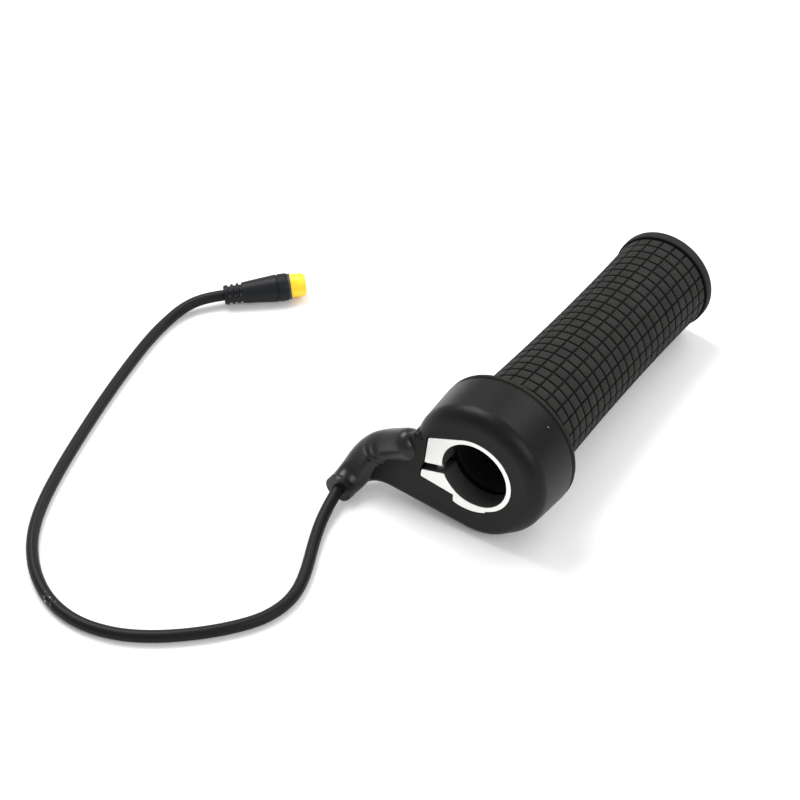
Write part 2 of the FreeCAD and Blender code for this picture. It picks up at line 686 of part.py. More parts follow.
def make_thrust_washer():
    body = new_body("washer_body")
    turned(
        body,
        "washer_ring",
        [
            (f"{SLEEVE_RADIUS} + running_ease", f"{COVER_SEAT} - washer_thickness"),
            ("washer_radius", f"{COVER_SEAT} - washer_thickness"),
            ("washer_radius", COVER_SEAT),
            (f"{SLEEVE_RADIUS} + running_ease", COVER_SEAT),
        ],
    )
    return keep(body, "thrust_washer")


def sector(inner, outer, middle, span):
    """Corners of a ring sector, as expressions, counted from +X towards +Z."""
    low = f"({middle} - {span} / 2) * 1deg"
    high = f"({middle} + {span} / 2) * 1deg"
    return [
        (f"({inner}) * cos({low})", f"({inner}) * sin({low})"),
        (f"({outer}) * cos({low})", f"({outer}) * sin({low})", outer),
        (f"({outer}) * cos({high})", f"({outer}) * sin({high})"),
        (f"({inner}) * cos({high})", f"({inner}) * sin({high})", f"-({inner})"),
    ]


def make_twist_sleeve():
    """Tube that turns on the bar, with a flange inside the drum that carries the magnets."""
    body = new_body("sleeve_body")
    nose = f"{WALL_BACK} + sleeve_nose_gap"
    turned(
        body,
        "tube",
        [
            (SLEEVE_BORE, nose),
            (SLEEVE_RADIUS, nose),
            (SLEEVE_RADIUS, FLANGE_FRONT),
            ("flange_radius", FLANGE_FRONT),
            ("flange_radius", FLANGE_BACK),
            (SLEEVE_RADIUS, FLANGE_BACK),
            (SLEEVE_RADIUS, f"{GRIP_END} - end_wall"),
            (SLEEVE_BORE, f"{GRIP_END} - end_wall"),
        ],
    )
    carrier = face_sketch(body, "carrier", FLANGE_FRONT)
    outline(carrier, sector(SLEEVE_RADIUS, f"{CAVITY} - carrier_gap", "carrier_rest", "carrier_span"))
    pad(body, "carrier_pad", carrier, "flange_thickness")
    for side, name in ((-1, "magnet_room_1"), (1, "magnet_room_2")):
        room = face_sketch(body, name, FLANGE_FRONT, f"carrier_rest + {side} * magnet_spread")
        outline(room, magnet_corners())
        pocket(body, name + "_cut", room, "magnet_depth")
    return keep(body, "twist_sleeve")


def magnet_corners():
    return [
        (f"{MAGNET_CIRCLE} - magnet_width / 2", "-magnet_length / 2"),
        (f"{MAGNET_CIRCLE} + magnet_width / 2", "-magnet_length / 2"),
        (f"{MAGNET_CIRCLE} + magnet_width / 2", "magnet_length / 2"),
        (f"{MAGNET_CIRCLE} - magnet_width / 2", "magnet_length / 2"),
    ]


def make_magnets():
    for side, label in ((-1, "magnet_1"), (1, "magnet_2")):
        body = new_body(label + "_body")
        face = face_sketch(body, label + "_face", FLANGE_FRONT, f"carrier_rest + {side} * magnet_spread")
        outline(face, magnet_corners())
        pad(body, label + "_pad", face, "magnet_depth")
        keep(body, label)


def make_sensor():
    board = new_body("board_body")
    plate = face_sketch(board, "board_plate", WALL_BACK)
    outline(plate, sector(f"{BOARD_OUTER} - board_width", BOARD_OUTER, "board_middle", "board_span"))
    pad(board, "board_pad", plate, "board_thickness")
    keep(board, "sensor_board")
    chip = new_body("chip_body")
    face = face_sketch(chip, "chip_face", f"{WALL_BACK} + board_thickness", "board_middle")
    outline(
        face,
        [
            (f"{MAGNET_CIRCLE} - sensor_length / 2", "-sensor_width / 2"),
            (f"{MAGNET_CIRCLE} + sensor_length / 2", "-sensor_width / 2 + sensor_bevel"),
            (f"{MAGNET_CIRCLE} + sensor_length / 2", "sensor_width / 2 - sensor_bevel"),
            (f"{MAGNET_CIRCLE} - sensor_length / 2", "sensor_width / 2"),
        ],
    )
    pad(chip, "chip_pad", face, "sensor_thickness")
    keep(chip, "hall_sensor")


def rounded_path(points, report=None):
    """Straight runs joined by tangent arcs, each as large as its two runs allow."""
    edges = []
    start = points[0]
    for before, corner, after in zip(points, points[1:], points[2:]):
        into = corner - before
        out = after - corner
        turn = into.getAngle(out)
        reach = CORNER_SHARE * min(into.Length, out.Length)
        entry = corner - Vector(into).normalize() * reach
        leave = corner + Vector(out).normalize() * reach
        radius = reach / math.tan(turn / 2)
        if report is not None:
            report.append(radius)
        bend = (entry + leave) / 2 - corner
        centre = corner + Vector(bend).normalize() * (radius / math.cos(turn / 2))
        middle = centre + (corner - centre).normalize() * radius
        edges.append(Part.LineSegment(start, entry).toShape())
        edges.append(Part.Arc(entry, middle, leave).toShape())
        start = leave
    edges.append(Part.LineSegment(start, points[-1]).toShape())
    return Part.Wire(edges)


def tube(points, radius, report=None):
    """Round solid along a rounded path; its volume has to be section times length."""
    path = rounded_path(points, report)
    first = path.Edges[0].tangentAt(path.Edges[0].FirstParameter)
    section = Part.Wire([Part.makeCircle(radius, points[0], first)])
    solid = path.makePipeShell([section], True, False)
    wanted = math.pi * radius**2 * path.Length
    if abs(solid.Volume / wanted - 1) > 0.01:
        raise RuntimeError(f"tube volume {solid.Volume:.1f}, not {wanted:.1f}")
    return solid


def make_sensor_leads():
    """Three wires from the boot through the front wall to the sensor board."""
    side = LEAD_WAY.cross(BORE).normalize()
    tilt = side.cross(LEAD_WAY)
    wires = []
    for index in range(3):
        angle = 2 * math.pi * index / 3
        aside = (side * math.cos(angle) + tilt * math.sin(angle)) * size("lead_spacing")
        start = BOOT_ROUTE[0] + LEAD_WAY * size("boot_root_radius + lead_start") + aside
        landing = polar(
            size(MAGNET_CIRCLE) + (index - 1) * size("lead_pitch"),
            size("board_middle") + size("lead_landing"),
            size(f"{WALL_BACK} + board_thickness + lead_radius"),
        )
        wires.append(tube([start, LEAD_EXIT + aside, landing], size("lead_radius")))
    leads = doc.addObject("Part::Feature", "lead_set")
    leads.Shape = Part.makeCompound(wires)
    return keep(leads, "sensor_leads")


def make_return_spring():
    """Torsion spring round the sleeve nose, its coil laid through points on a helix."""
    start = size(f"{WALL_BACK} + float_gap + spring_wire / 2")
    points = []
    for step in range(round(size("spring_turns") * SPRING_STEPS) + 1):
        share = step / SPRING_STEPS
        points.append(polar(size("spring_radius"), 360 * share, start + share * size("spring_pitch")))
    spring = doc.addObject("Part::Feature", "spring_coil")
    spring.Shape = tube(points, size("spring_wire / 2"))
    return keep(spring, "return_spring")


def tread_radius(along):
    """Outer radius of the grip between its first and last row: two parabolas that meet at the waist."""
    waist_at = size("waist_at")
    waist = size("waist_radius")
    far, far_radius = size("tread_start"), size("tread_front_radius")
    if along > waist_at:
        far, far_radius = size(TREAD_END), size("tread_end_radius")
    return waist + (far_radius - waist) * ((along - waist_at) / (far - waist_at)) ** 2


def notched_section(radius, depth, half_gap, columns, along):
    """Section of one row of blocks: flat-topped blocks with a groove at every column."""
    corners = []
    top = math.sqrt(radius**2 - half_gap**2)
    for index in range(columns):
        middle = 2 * math.pi * index / columns
        out = Vector(math.cos(middle), 0, math.sin(middle))
        across = Vector(-math.sin(middle), 0, math.cos(middle))
        for reach, aside in ((top, -1), (radius - depth, -1), (radius - depth, 1), (top, 1)):
            corners.append(out * reach + across * aside * half_gap + BORE * along)
    return Part.Face(Part.makePolygon(corners + corners[:1]))


def floor_section(radius, half_gap, columns, along):
    """Section of a ring groove: its corners line up with the floors of the long grooves."""
    corners = []
    for index in range(columns):
        middle = 2 * math.pi * index / columns
        out = Vector(math.cos(middle), 0, math.sin(middle))
        across = Vector(-math.sin(middle), 0, math.cos(middle))
        corners += [out * radius + across * aside * half_gap + BORE * along for aside in (-1, 1)]
    return Part.Face(Part.makePolygon(corners + corners[:1]))


def ring_of(corners):
    """Solid of revolution about the bore from an outline of (radius, distance along the bar)."""
    spots = [Vector(radius, along, 0) for radius, along in corners]
    face = Part.Face(Part.makePolygon(spots + spots[:1]))
    return face.revolve(Vector(0, 0, 0), BORE, 360)


def make_grip_rubber():
    """Moulded grip: flared flange, rows of blocks on an hourglass, end rim and closed end."""
    rows = round(size("tread_rows"))
    columns = round(size("tread_columns"))
    pitch = size("tread_pitch")
    gap = size("groove_width")
    depth = size("groove_depth")
    first = size("tread_start")
    stack = []
    for index in range(rows):
        low = first + index * pitch + gap / 2
        row = notched_section(tread_radius(low + (pitch - gap) / 2), depth, gap / 2, columns, low)
        stack.append(row.extrude(BORE * (pitch - gap)))
    for index in range(rows + 1):
        low = first + index * pitch - gap / 2
        floor = floor_section(tread_radius(low + gap / 2) - depth, gap / 2, columns, low)
        stack.append(floor.extrude(BORE * gap))
    start = size(GRIP_START)
    lip = start + size("rubber_flange_lip")
    flange = size("drum_rear_radius - flange_step")
    lip_round = size("rubber_flange_lip / 3")
    neck = size("flare_radius")
    flare = [(0, start), (flange - lip_round, start), (flange, start + lip_round)]
    flare += [(flange, lip - lip_round), (flange - lip_round, lip)]
    steps = range(1, FLARE_STEPS + 1)
    flare += [flare_point(step / FLARE_STEPS, lip, neck, flange - lip_round) for step in steps]
    flare += [(size("tread_front_radius"), first - gap / 2), (0, first - gap / 2)]
    stack.append(ring_of(flare))
    rim_start = size(f"{TREAD_END} + groove_width / 2")
    end = size(GRIP_END)
    rim = size("rim_radius")
    edge = size("rim_round")
    stack.append(
        ring_of(
            [
                (0, rim_start),
                (rim, rim_start),
                (rim, end - edge),
                (rim - edge * ROUND_SHARE, end - edge * ROUND_SHARE),
                (rim - edge, end),
                (0, end),
            ]
        )
    )
    solid = stack[0].multiFuse(stack[1:]).removeSplitter()
    room = Part.makeCylinder(
        size(f"{SLEEVE_RADIUS} + rubber_ease"), size(f"{GRIP_END} - end_wall") - start, BORE * start, BORE
    )
    rubber = doc.addObject("Part::Feature", "grip_mould")
    rubber.Shape = solid.cut(room)
    return keep(rubber, "grip_rubber")


def flare_point(share, start, neck, mouth):
    """Point of the flare, a quarter of an ellipse from the flange rim in to the neck."""
    angle = share * math.pi / 2
    length = size("flare_end") - start
    return (mouth - (mouth - neck) * math.sin(angle), start + length * (1 - math.cos(angle)))


def make_cable_boot(housing):
    """Tapered, bent strain relief moulded over the arm: domed root, two ridges and an end collar."""
    path = rounded_path(BOOT_ROUTE)
    start, end = BOOT_ROUTE[0], BOOT_ROUTE[-1]
    first = BOOT_ROUTE[1] - start
    last = end - BOOT_ROUTE[-2]
    sections = [
        Part.Wire([Part.makeCircle(size("boot_root_radius"), start, first)]),
        Part.Wire([Part.makeCircle(size("boot_end_radius"), end, last)]),
    ]
    dome = Part.makeSphere(size("boot_root_radius"), start)
    solid = path.makePipeShell(sections, True, False).fuse(dome)
    points = path.discretize(BOOT_STEPS + 1)
    for step in RIDGE_STEPS:
        share = step / BOOT_STEPS
        radius = size("boot_root_radius") + share * size("boot_end_radius - boot_root_radius")
        ring = Part.makeTorus(radius, size("boot_ridge"), points[step], points[step + 1] - points[step - 1])
        solid = solid.fuse(ring)
    length = size("boot_collar_length")
    back = end - Vector(last).normalize() * length
    collar = Part.makeCylinder(size("boot_end_radius + boot_collar"), length, back, last)
    doc.recompute()
    boot = doc.addObject("Part::Feature", "boot_mould")
    boot.Shape = solid.fuse(collar).cut(housing.Shape)
    return keep(boot, "cable_boot")


def make_cable():
    radii = []
    cable = doc.addObject("Part::Feature", "cable_tube")
    cable.Shape = tube(CABLE_ROUTE, size("cable_radius"), radii)
    print("cable arc radii, mm:", " ".join(f"{radius:.0f}" for radius in radii))
    print(f"cable length, mm: {rounded_path(CABLE_ROUTE).Length:.1f}")
    return keep(cable, "cable")


def plug_placement():
    """Connector frame: its own Y runs from the cable to the mating end."""
    root = CABLE_ROUTE[-1]
    along = (root - CABLE_ROUTE[-2]).normalize()
    side = along.cross(UP).normalize()
    return FreeCAD.Placement(root, FreeCAD.Rotation(side.cross(along), along, side * -1, "YXZ"))


def make_connector():
    root = "plug_root_radius"
    shoulder = "plug_length - plug_front"
    seat = "plug_length - insert_seat"
    shell = new_body("plug_body")
    turned(
        shell,
        "plug_shell",
        [
            ("0", "0"),
            (f"{root} - plug_edge", "0"),
            (root, "plug_edge"),
            (f"{root} + relief_growth", "relief_length"),
            ("plug_radius", shoulder),
            ("plug_radius - plug_groove", f"{shoulder} + plug_groove"),
            ("plug_radius - plug_groove", f"{shoulder} + plug_groove * 2"),
            ("plug_radius", f"{shoulder} + plug_groove * 3"),
            ("plug_radius", "plug_length - plug_edge"),
            ("plug_radius - plug_edge", "plug_length"),
            ("insert_radius", "plug_length"),
            ("insert_radius", seat),
            ("0", seat),
        ],
    )
    slots = profile_sketch(shell, "relief_slots")
    for side in (-1, 1):
        for index in range(3):
            low = f"relief_pitch * {index + 1}"
            outline(
                slots,
                [
                    (f"{side} * ({root} - relief_depth)", low),
                    (f"{side} * (plug_radius + relief_slot)", low),
                    (f"{side} * (plug_radius + relief_slot)", f"{low} + relief_slot"),
                    (f"{side} * ({root} - relief_depth)", f"{low} + relief_slot"),
                ],
            )
    doc.recompute()
    relief = shell.newObject("PartDesign::Pocket", "relief_cut")
    relief.Profile = slots
    relief.Midplane = True
    relief.setExpression("Length", bound("plug_root_radius * 4"))
    insert = new_body("insert_body")
    turned(
        insert,
        "insert_turned",
        [
            ("0", seat),
            ("insert_radius", seat),
            ("insert_radius", "plug_length + insert_proud - insert_edge"),
            ("insert_radius - insert_edge", "plug_length + insert_proud"),
            ("insert_bore", "plug_length + insert_proud"),
            ("insert_bore", "plug_length + insert_proud - insert_floor"),
            ("0", "plug_length + insert_proud - insert_floor"),
        ],
    )
    seal = new_body("seal_body")
    turned(
        seal,
        "seal_turned",
        [
            ("insert_radius", "plug_length"),
            ("insert_radius + seal_wire", "plug_length"),
            ("insert_radius + seal_wire", "plug_length + seal_wire"),
            ("insert_radius", "plug_length + seal_wire"),
        ],
    )
    for part, label in ((shell, "connector_body"), (insert, "connector_insert"), (seal, "connector_seal")):
        part.Placement = plug_placement()
        keep(part, label)
    floor = size("plug_length + insert_proud - insert_floor")
    pins = []
    for index in range(3):
        spot = polar(size("pin_circle"), 120 * index, floor)
        pins.append(Part.makeCylinder(size("pin_radius"), size("insert_floor - pin_setback"), spot, BORE))
    contacts = doc.addObject("Part::Feature", "pin_set")
    contacts.Shape = Part.makeCompound(pins)
    contacts.Placement = plug_placement()
    keep(contacts, "contact_pins")


def check_and_write():
    doc.recompute()
    for item in doc.Objects:
        if "Invalid" in item.State or "Error" in item.State:
            raise RuntimeError(f"{item.Name} failed: {item.State}")
    for node in NODES:
        if node.Shape.isNull() or not node.Shape.isValid():
            raise RuntimeError(f"{node.Label} has no valid shape")
    os.makedirs("parts", exist_ok=True)
    for node in NODES:
        print(f"{node.Label}: {len(node.Shape.Solids)} solid(s), {node.Shape.Volume:.1f} mm3")
        node.Shape.exportStep(f"parts/{node.Label}.step")


make_clamp_ring()
make_clamp_screw()
housing = make_housing()
make_rear_cover()
make_cover_screws()
make_thrust_washer()
make_twist_sleeve()
make_magnets()
make_sensor()
make_sensor_leads()
make_return_spring()
make_grip_rubber()
make_cable_boot(housing)
make_cable()
make_connector()
check_and_write()
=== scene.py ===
import math

import bmesh
import bpy
from bpy.props import FloatProperty, FloatVectorProperty, IntProperty, PointerProperty
from bpy.types import Operator, Panel, PropertyGroup
from mathutils import Matrix, Vector


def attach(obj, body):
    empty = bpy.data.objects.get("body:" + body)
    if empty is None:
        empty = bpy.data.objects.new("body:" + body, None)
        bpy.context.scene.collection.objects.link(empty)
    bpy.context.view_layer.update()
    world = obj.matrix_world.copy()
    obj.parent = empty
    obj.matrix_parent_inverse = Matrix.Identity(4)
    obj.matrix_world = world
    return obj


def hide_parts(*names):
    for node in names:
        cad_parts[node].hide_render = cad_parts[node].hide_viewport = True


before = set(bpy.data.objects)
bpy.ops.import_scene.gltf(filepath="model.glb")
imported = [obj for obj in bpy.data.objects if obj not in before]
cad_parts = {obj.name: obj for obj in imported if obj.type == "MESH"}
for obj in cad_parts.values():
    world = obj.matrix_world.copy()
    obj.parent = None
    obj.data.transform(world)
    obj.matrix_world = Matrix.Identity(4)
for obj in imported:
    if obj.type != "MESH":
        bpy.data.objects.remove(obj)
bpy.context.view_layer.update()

bl_info = {
    "name": "Twist throttle looks",
    "version": (1, 0, 0),
    "blender": (4, 5, 0),
    "location": "View3D > Sidebar > Throttle",
    "description": "Shapes and finishes of a twist throttle with its cable and connector",
    "category": "Object",
}

MM = 0.001

# Corners closer than this, in metres, become one: in a made mesh and in a CAD mesh
MERGE = 1e-7
CAD_MERGE = 2e-6

# Turn below which the triangles of a CAD mesh become one flat face, and turn from which its edges are sharp
CAD_FLAT = math.radians(0.4)
CAD_SHARP = math.radians(32)

# The table under the part: it touches the drum's rear rim and the grip's end rim
TABLE_SLOPE = 0.0584965
TABLE_TOUCH = (17.5 * MM, -23.5402 * MM)

# Half the table's width and how far it lies below the rims, in metres
TABLE_HALF = 3.0
TABLE_DROP = 0.00002

# The table's paint, and its glow for the rays that see it
TABLE_WHITES = ((0.86, 0.86, 0.86), (0.89, 0.89, 0.89))
TABLE_GLOW = 0.08
SEEN_RAYS = ("Is Camera Ray", "Is Glossy Ray", "Is Transmission Ray")
WHITE = (1.0, 1.0, 1.0, 1.0)

# Even light of the room, and the lamps: name, place, aim and size in metres, power in watts
ROOM_LIGHT = 0.62
LAMPS = (
    ("key", (-0.55, 0.15, 0.9), (-0.02, 0.02, 0), 0.6, 10.5),
    ("side", (0.75, -0.2, 0.55), (0.0, 0.05, 0), 0.5, 4.0),
    ("back", (0.2, 0.9, 0.7), (0.0, 0.05, 0), 0.7, 5.8),
)

# Camera: place in metres, turn in degrees, lens and sensor in millimetres, and the range it sees in metres
CAMERA_PLACE = (0.227986, -0.383886, 0.390708)
CAMERA_TURN = (50.97, 0, 33.51)
CAMERA_LENS = 90
CAMERA_SENSOR = 36
CAMERA_RANGE = (0.01, 50)

# Middle line of the cable boot from its shoulder on: x, along the bar and up, in millimetres
BOOT_START = [(-24.8, 4.0, -2.3), (-33.5, 4.0, -5.4), (-40.2, 3.2, -11.6), (-43.9, -1.0, -20.2)]

# Steps round the boot, the angles of its domed start in degrees, and the share that its end collar takes
BOOT_STEPS = 40
BOOT_DOME = (80, 62, 44, 28, 14)
BOOT_COLLAR_SHARE = 0.06

# Folds in the boot's elbow: their places, their width and their side
CREASES = (0.41, 0.485)
CREASE_WIDTH = 0.026
CREASE_SIDE = Vector((0.40, -0.80, -0.30)).normalized()

# Where the boot thickens towards the arm: its side and the share of the boot where this begins
GUSSET_SIDE = Vector((0.75, -0.10, -0.65)).normalized()
GUSSET_START = 0.4

# Share of the boot that its shoulder over the arm takes, and the shoulder's side
SHOULDER_SHARE = 0.42
SHOULDER_SIDE = Vector((0.10, -0.64, 0.74)).normalized()

# Middle line of the cable, as in the part's source: x, along the bar and above the table, in millimetres
CABLE_ROUTE = [
    (-43.922, -8.0, 4.35), (-43.0, -15.5, 3.0), (-40.0, -25.5, 1.95), (-32.4, -42.0, 1.95),
    (-30.6, -51.5, 1.95), (-32.6, -60.3, 1.95), (-38.0, -68.2, 1.95), (-46.8, -77.0, 1.95),
    (-57.0, -84.6, 1.95), (-67.5, -89.6, 1.95), (-79.5, -91.6, 1.95), (-91.5, -89.4, 1.95),
    (-103.0, -82.9, 1.95), (-112.6, -73.4, 1.95), (-119.2, -62.3, 1.95), (-124.6, -48.5, 1.95),
    (-130.4, -29.5, 1.95), (-136.0, -8.5, 1.95), (-139.9, 9.5, 1.95), (-141.9, 21.0, 1.95),
    (-142.6, 30.0, 1.95), (-141.8, 38.8, 2.8), (-138.0, 45.9, 3.8), (-132.8, 50.5, 4.0),
]

# Way of the connector from the cable to its mouth, and steps round it
PLUG_WAY = (0.747293, 0.661067, 0.067412)
PLUG_STEPS = 72

# Shell of the connector in millimetres, radius and along it: its tail, the start and growth of its slotted
# strain relief with the rings in that, and its body with the seat of the insert
SHELL_TAIL = [(0.0, 0.0), (2.7, 0.0), (3.2, 0.15), (3.4, 0.55)]
RELIEF_START = (3.4, 0.6)
RELIEF_GROWTH = (0.25, 6.2)
RELIEF_RINGS = 60
SHELL_BODY = [
    (3.72, 7.2), (4.8, 18.4), (4.55, 18.65), (4.55, 18.9), (4.8, 19.15), (4.8, 21.5),
    (4.7, 22.1), (4.42, 22.6), (4.1, 22.6), (4.1, 18.6), (0.0, 18.6),
]

# Slots of the strain relief in millimetres: places along it, half width, width of their edges and depth
RELIEF_SLOTS = (2.1, 4.0, 5.9)
SLOT_HALF = 0.5
SLOT_EDGE = 0.12
SLOT_DEPTH = 1.15

# How far to the side a slot begins and over how much it reaches its depth, as parts of the radius, and the
# least radius that is cut, in millimetres
SLOT_BEGIN = 0.34
SLOT_SPREAD = 0.2
SLOT_LEAST = 3.0

# Insert of the connector in millimetres: its foot, the centre, radius, angles and steps of its rounded mouth,
# and its socket
INSERT_FOOT = [(0.0, 18.6), (4.1, 18.6)]
INSERT_MOUTH = ((2.1, 26.8), 2.0, 0, 70, 8)
INSERT_SOCKET = [(2.7, 28.5), (2.7, 24.2), (0.0, 24.2)]

# Clamp slot below the -X side, in degrees, the lug corners that are rounded, in millimetres along the slot
# and above it, and how near to such a corner an edge lies, in metres
CLAMP_ROLL = 13.5
LUG_CORNERS = [(-13.9, 11.05), (-17.55, 1.45), (-19.4, -1.45), (-20.4, -4.05), (-10.1, -11.2)]
LUG_NEAR = 3e-5

# Outer edges of the arm that are rounded: where they begin, in millimetres, their least turn, and the back of
# the arm along the bar
ARM_EDGE_START = -21.5
ARM_EDGE_TURN = math.radians(50)
ARM_BACK = 8.0

# Front edges over the boot that are rounded too, in millimetres: where they begin and how low they reach
WEB_FRONT_START = -16.8
WEB_FRONT_FOOT = -2.2

# Within this, in millimetres, two places on the arm count as one
ARM_NEAR = 0.01

# The drum's tapered side: least radius in metres, most lean of its faces along the bar, and how straight out
# they point at least
DRUM_SIDE_LEAST = 0.0222
DRUM_TAPER_MOST = 0.09
DRUM_SIDE_OUT = 0.99

# Flange of the grip from its dust lip to its outer lip: radius and along the bar, in metres
GRIP_FLANGE = [
    (0.0206, 0.0173), (0.0209, 0.0175), (0.0209, 0.0178), (0.0220, 0.0178),
    (0.0225, 0.0182), (0.0230, 0.01845), (0.0234, 0.01875), (0.02345, 0.0190),
    (0.02345, 0.0196), (0.0232, 0.0199), (0.0228, 0.0200),
]

# Flare from the flange to the tread, in metres: fall in radius, length, steps and height of its foot
FLARE_FALL = 0.0049
FLARE_LENGTH = 0.0023
FLARE_STEPS = 8
FLARE_FOOT = 0.0002

# End rim of the grip, in metres: radius, rounding, and the foot with drop and place along the bar
RIM_RADIUS = 0.01745
RIM_ROUND = 0.0009
RIM_FOOT = ((0.0004, 0.0), (0.0001, 0.0003), (0.0, 0.0007))

# Outer end of the grip and end of its bore along the bar, in metres
GRIP_END = 0.121825
BORE_END = 0.119225

# Steps round the core for each column of blocks
COLUMN_STEPS = 4

# How the tread's floor, which takes the painted shade, is told from the rest, in metres: slack along the bar
# and in radius
FLOOR_SLACK = 1e-6
FLOOR_BELOW = 1e-5

# Share of painted light on the plain rubber outside the tread: it takes a little of the painted groove shade
PLAIN_LIT_SHARE = 0.85

# One block of the tread, in metres: its corner radius with steps, and the spread and sinking of its foot
BLOCK_CORNER = 0.00032
CORNER_STEPS = 3
BLOCK_FOOT = (0.00002, 0.0002)

# Rows of a block up to its top, with growth, height and relief: the share of painted light, less on the lower
# rows where painted shade falls; and the part of the outline that the flat of the top keeps
BLOCK_ROWS = (
    (0.0, -0.00018, 0.55),
    (-0.00005, -0.00006, 0.85),
    (-0.00018, 0.0, 1.0),
    (-0.0009, 0.00002, 1.0),
)
BLOCK_FLAT = 0.55


def table_height(along):
    """Height of the table at a place along the bar, in metres."""
    return TABLE_TOUCH[1] + TABLE_SLOPE * (along - TABLE_TOUCH[0])


def above_table(x, along, lift):
    """Point over the table in metres, from millimetres."""
    return Vector((x * MM, along * MM, table_height(along * MM) + lift * MM))


def length(name, description, default):
    """Property for a length in metres."""
    return FloatProperty(name=name, description=description, default=default, unit="LENGTH", precision=5)


def colour(name, description, default):
    """Property for a colour."""
    return FloatVectorProperty(
        name=name, description=description, default=default, size=3, subtype="COLOR", min=0, max=1
    )


class ThrottleSizes(PropertyGroup):
    """Sizes of the pieces that the looks add."""

    tread_rows: IntProperty(name="Tread rows", description="Rows of blocks along the grip", default=23, min=2)
    tread_columns: IntProperty(name="Tread columns", description="Blocks around the grip", default=24, min=6)
    tread_start: length("Tread start", "First ring groove along the bar", 0.0258)
    tread_pitch: length("Tread pitch", "Rows along the bar", 0.004)
    groove_width: length("Groove width", "Gap between the blocks", 0.00065)
    groove_depth: length("Groove depth", "Height of the blocks", 0.00055)
    front_radius: length("Front radius", "Grip at the first row", 0.0174)
    waist_radius: length("Waist radius", "Grip at its waist", 0.01618)
    waist_at: length("Waist place", "Waist along the bar", 0.081)
    end_radius: length("End radius", "Grip at the last row", 0.01672)
    sleeve_radius: length("Sleeve radius", "Inside of the rubber", 0.01302)
    boot_root: length("Boot root", "Boot radius at the housing", 0.0053)
    boot_end: length("Boot end", "Boot radius at the cable", 0.0043)
    boot_collar: length("Boot collar", "Collar at the end of the boot", 0.00025)
    boot_crease: length("Boot crease", "Height of the folds inside the boot's elbow", 0.0011)
    boot_gusset: length("Boot gusset", "Thicker side of the boot towards the arm", 0.0012)
    boot_shoulder: length("Boot shoulder", "Fuller root of the boot over the arm", 0.0030)
    cable_radius: length("Cable radius", "Radius of the cable", 0.0019)
    cable_length: length("Cable length", "Cable from the boot to the connector", 0.2844)
    arm_round: length("Arm rounding", "Rounded outer edges of the housing's arm", 0.0014)
    lug_round: length("Lug rounding", "Rounded corners of the clamp lugs", 0.0006)
    edge_round: length("Edge rounding", "Small rounding of the clamp's machined edges", 0.0002)


class ThrottleColours(PropertyGroup):
    """Colours of the finishes."""

    housing: colour("Housing", "Satin moulded housing", (0.0040, 0.0040, 0.0036))
    rubber: colour("Grip rubber", "Tops of the rubber blocks", (0.0150, 0.0150, 0.0136))
    # Grooves: colour of the painted shade on the floors between the blocks and at the blocks' feet
    groove: colour("Grooves", "Floors between the blocks", (0.0026, 0.0026, 0.0024))
    clamp: colour("Clamp", "Machined aluminium", (0.875, 0.87, 0.845))
    boot: colour("Boot", "Cable boot", (0.0058, 0.0058, 0.0057))
    cable: colour("Cable", "Cable jacket", (0.0056, 0.0058, 0.0062))
    connector: colour("Connector", "Connector body", (0.0070, 0.0078, 0.0092))
    insert: colour("Insert", "Yellow connector insert", (0.98, 0.56, 0.006))


# Node trees


class Value:
    """A socket that takes part in Python expressions; each operation adds a Math node."""

    def __init__(self, tree, socket):
        self.tree = tree
        self.socket = socket

    def maths(self, operation, first, second):
        """Math node on two values."""
        return self.tree.node("ShaderNodeMath", {"operation": operation}, {0: first, 1: second})

    def __add__(self, other):
        return self.maths("ADD", self, other)

    __radd__ = __add__

    def __sub__(self, other):
        return self.maths("SUBTRACT", self, other)

    def __rsub__(self, other):
        return self.maths("SUBTRACT", other, self)

    def __mul__(self, other):
        return self.maths("MULTIPLY", self, other)

    __rmul__ = __mul__

    def __truediv__(self, other):
        return self.maths("DIVIDE", self, other)

    def __lt__(self, other):
        return self.maths("LESS_THAN", self, other)

    def __gt__(self, other):
        return self.maths("GREATER_THAN", self, other)

    def do(self, operation, other=0.0):
        """An operation that Python has no sign for."""
        return self.maths(operation, self, other)

    def ramp(self, low, high):
        """0 below low and 1 above high, smooth between; low may be the larger one."""
        return self.tree.node(
            "ShaderNodeMapRange",
            {"interpolation_type": "SMOOTHSTEP"},
            {0: self, 1: low, 2: high, 3: 0.0, 4: 1.0},
        )


class Tree:
    """A node tree, with one method that adds any node."""

    def __init__(self, nodes, links):
        self.nodes = nodes
        self.links = links

    def node(self, kind, settings=None, inputs=None, output=0):
        """Add a node: its settings first, then the values or links of its sockets."""
        made = self.nodes.new(kind)
        for name, value in (settings or {}).items():
            setattr(made, name, value)
        for key, value in (inputs or {}).items():
            if isinstance(value, Value):
                self.links.new(value.socket, made.inputs[key])
            else:
                made.inputs[key].default_value = value
        if not made.outputs:
            return made
        return Value(self, made.outputs[output])


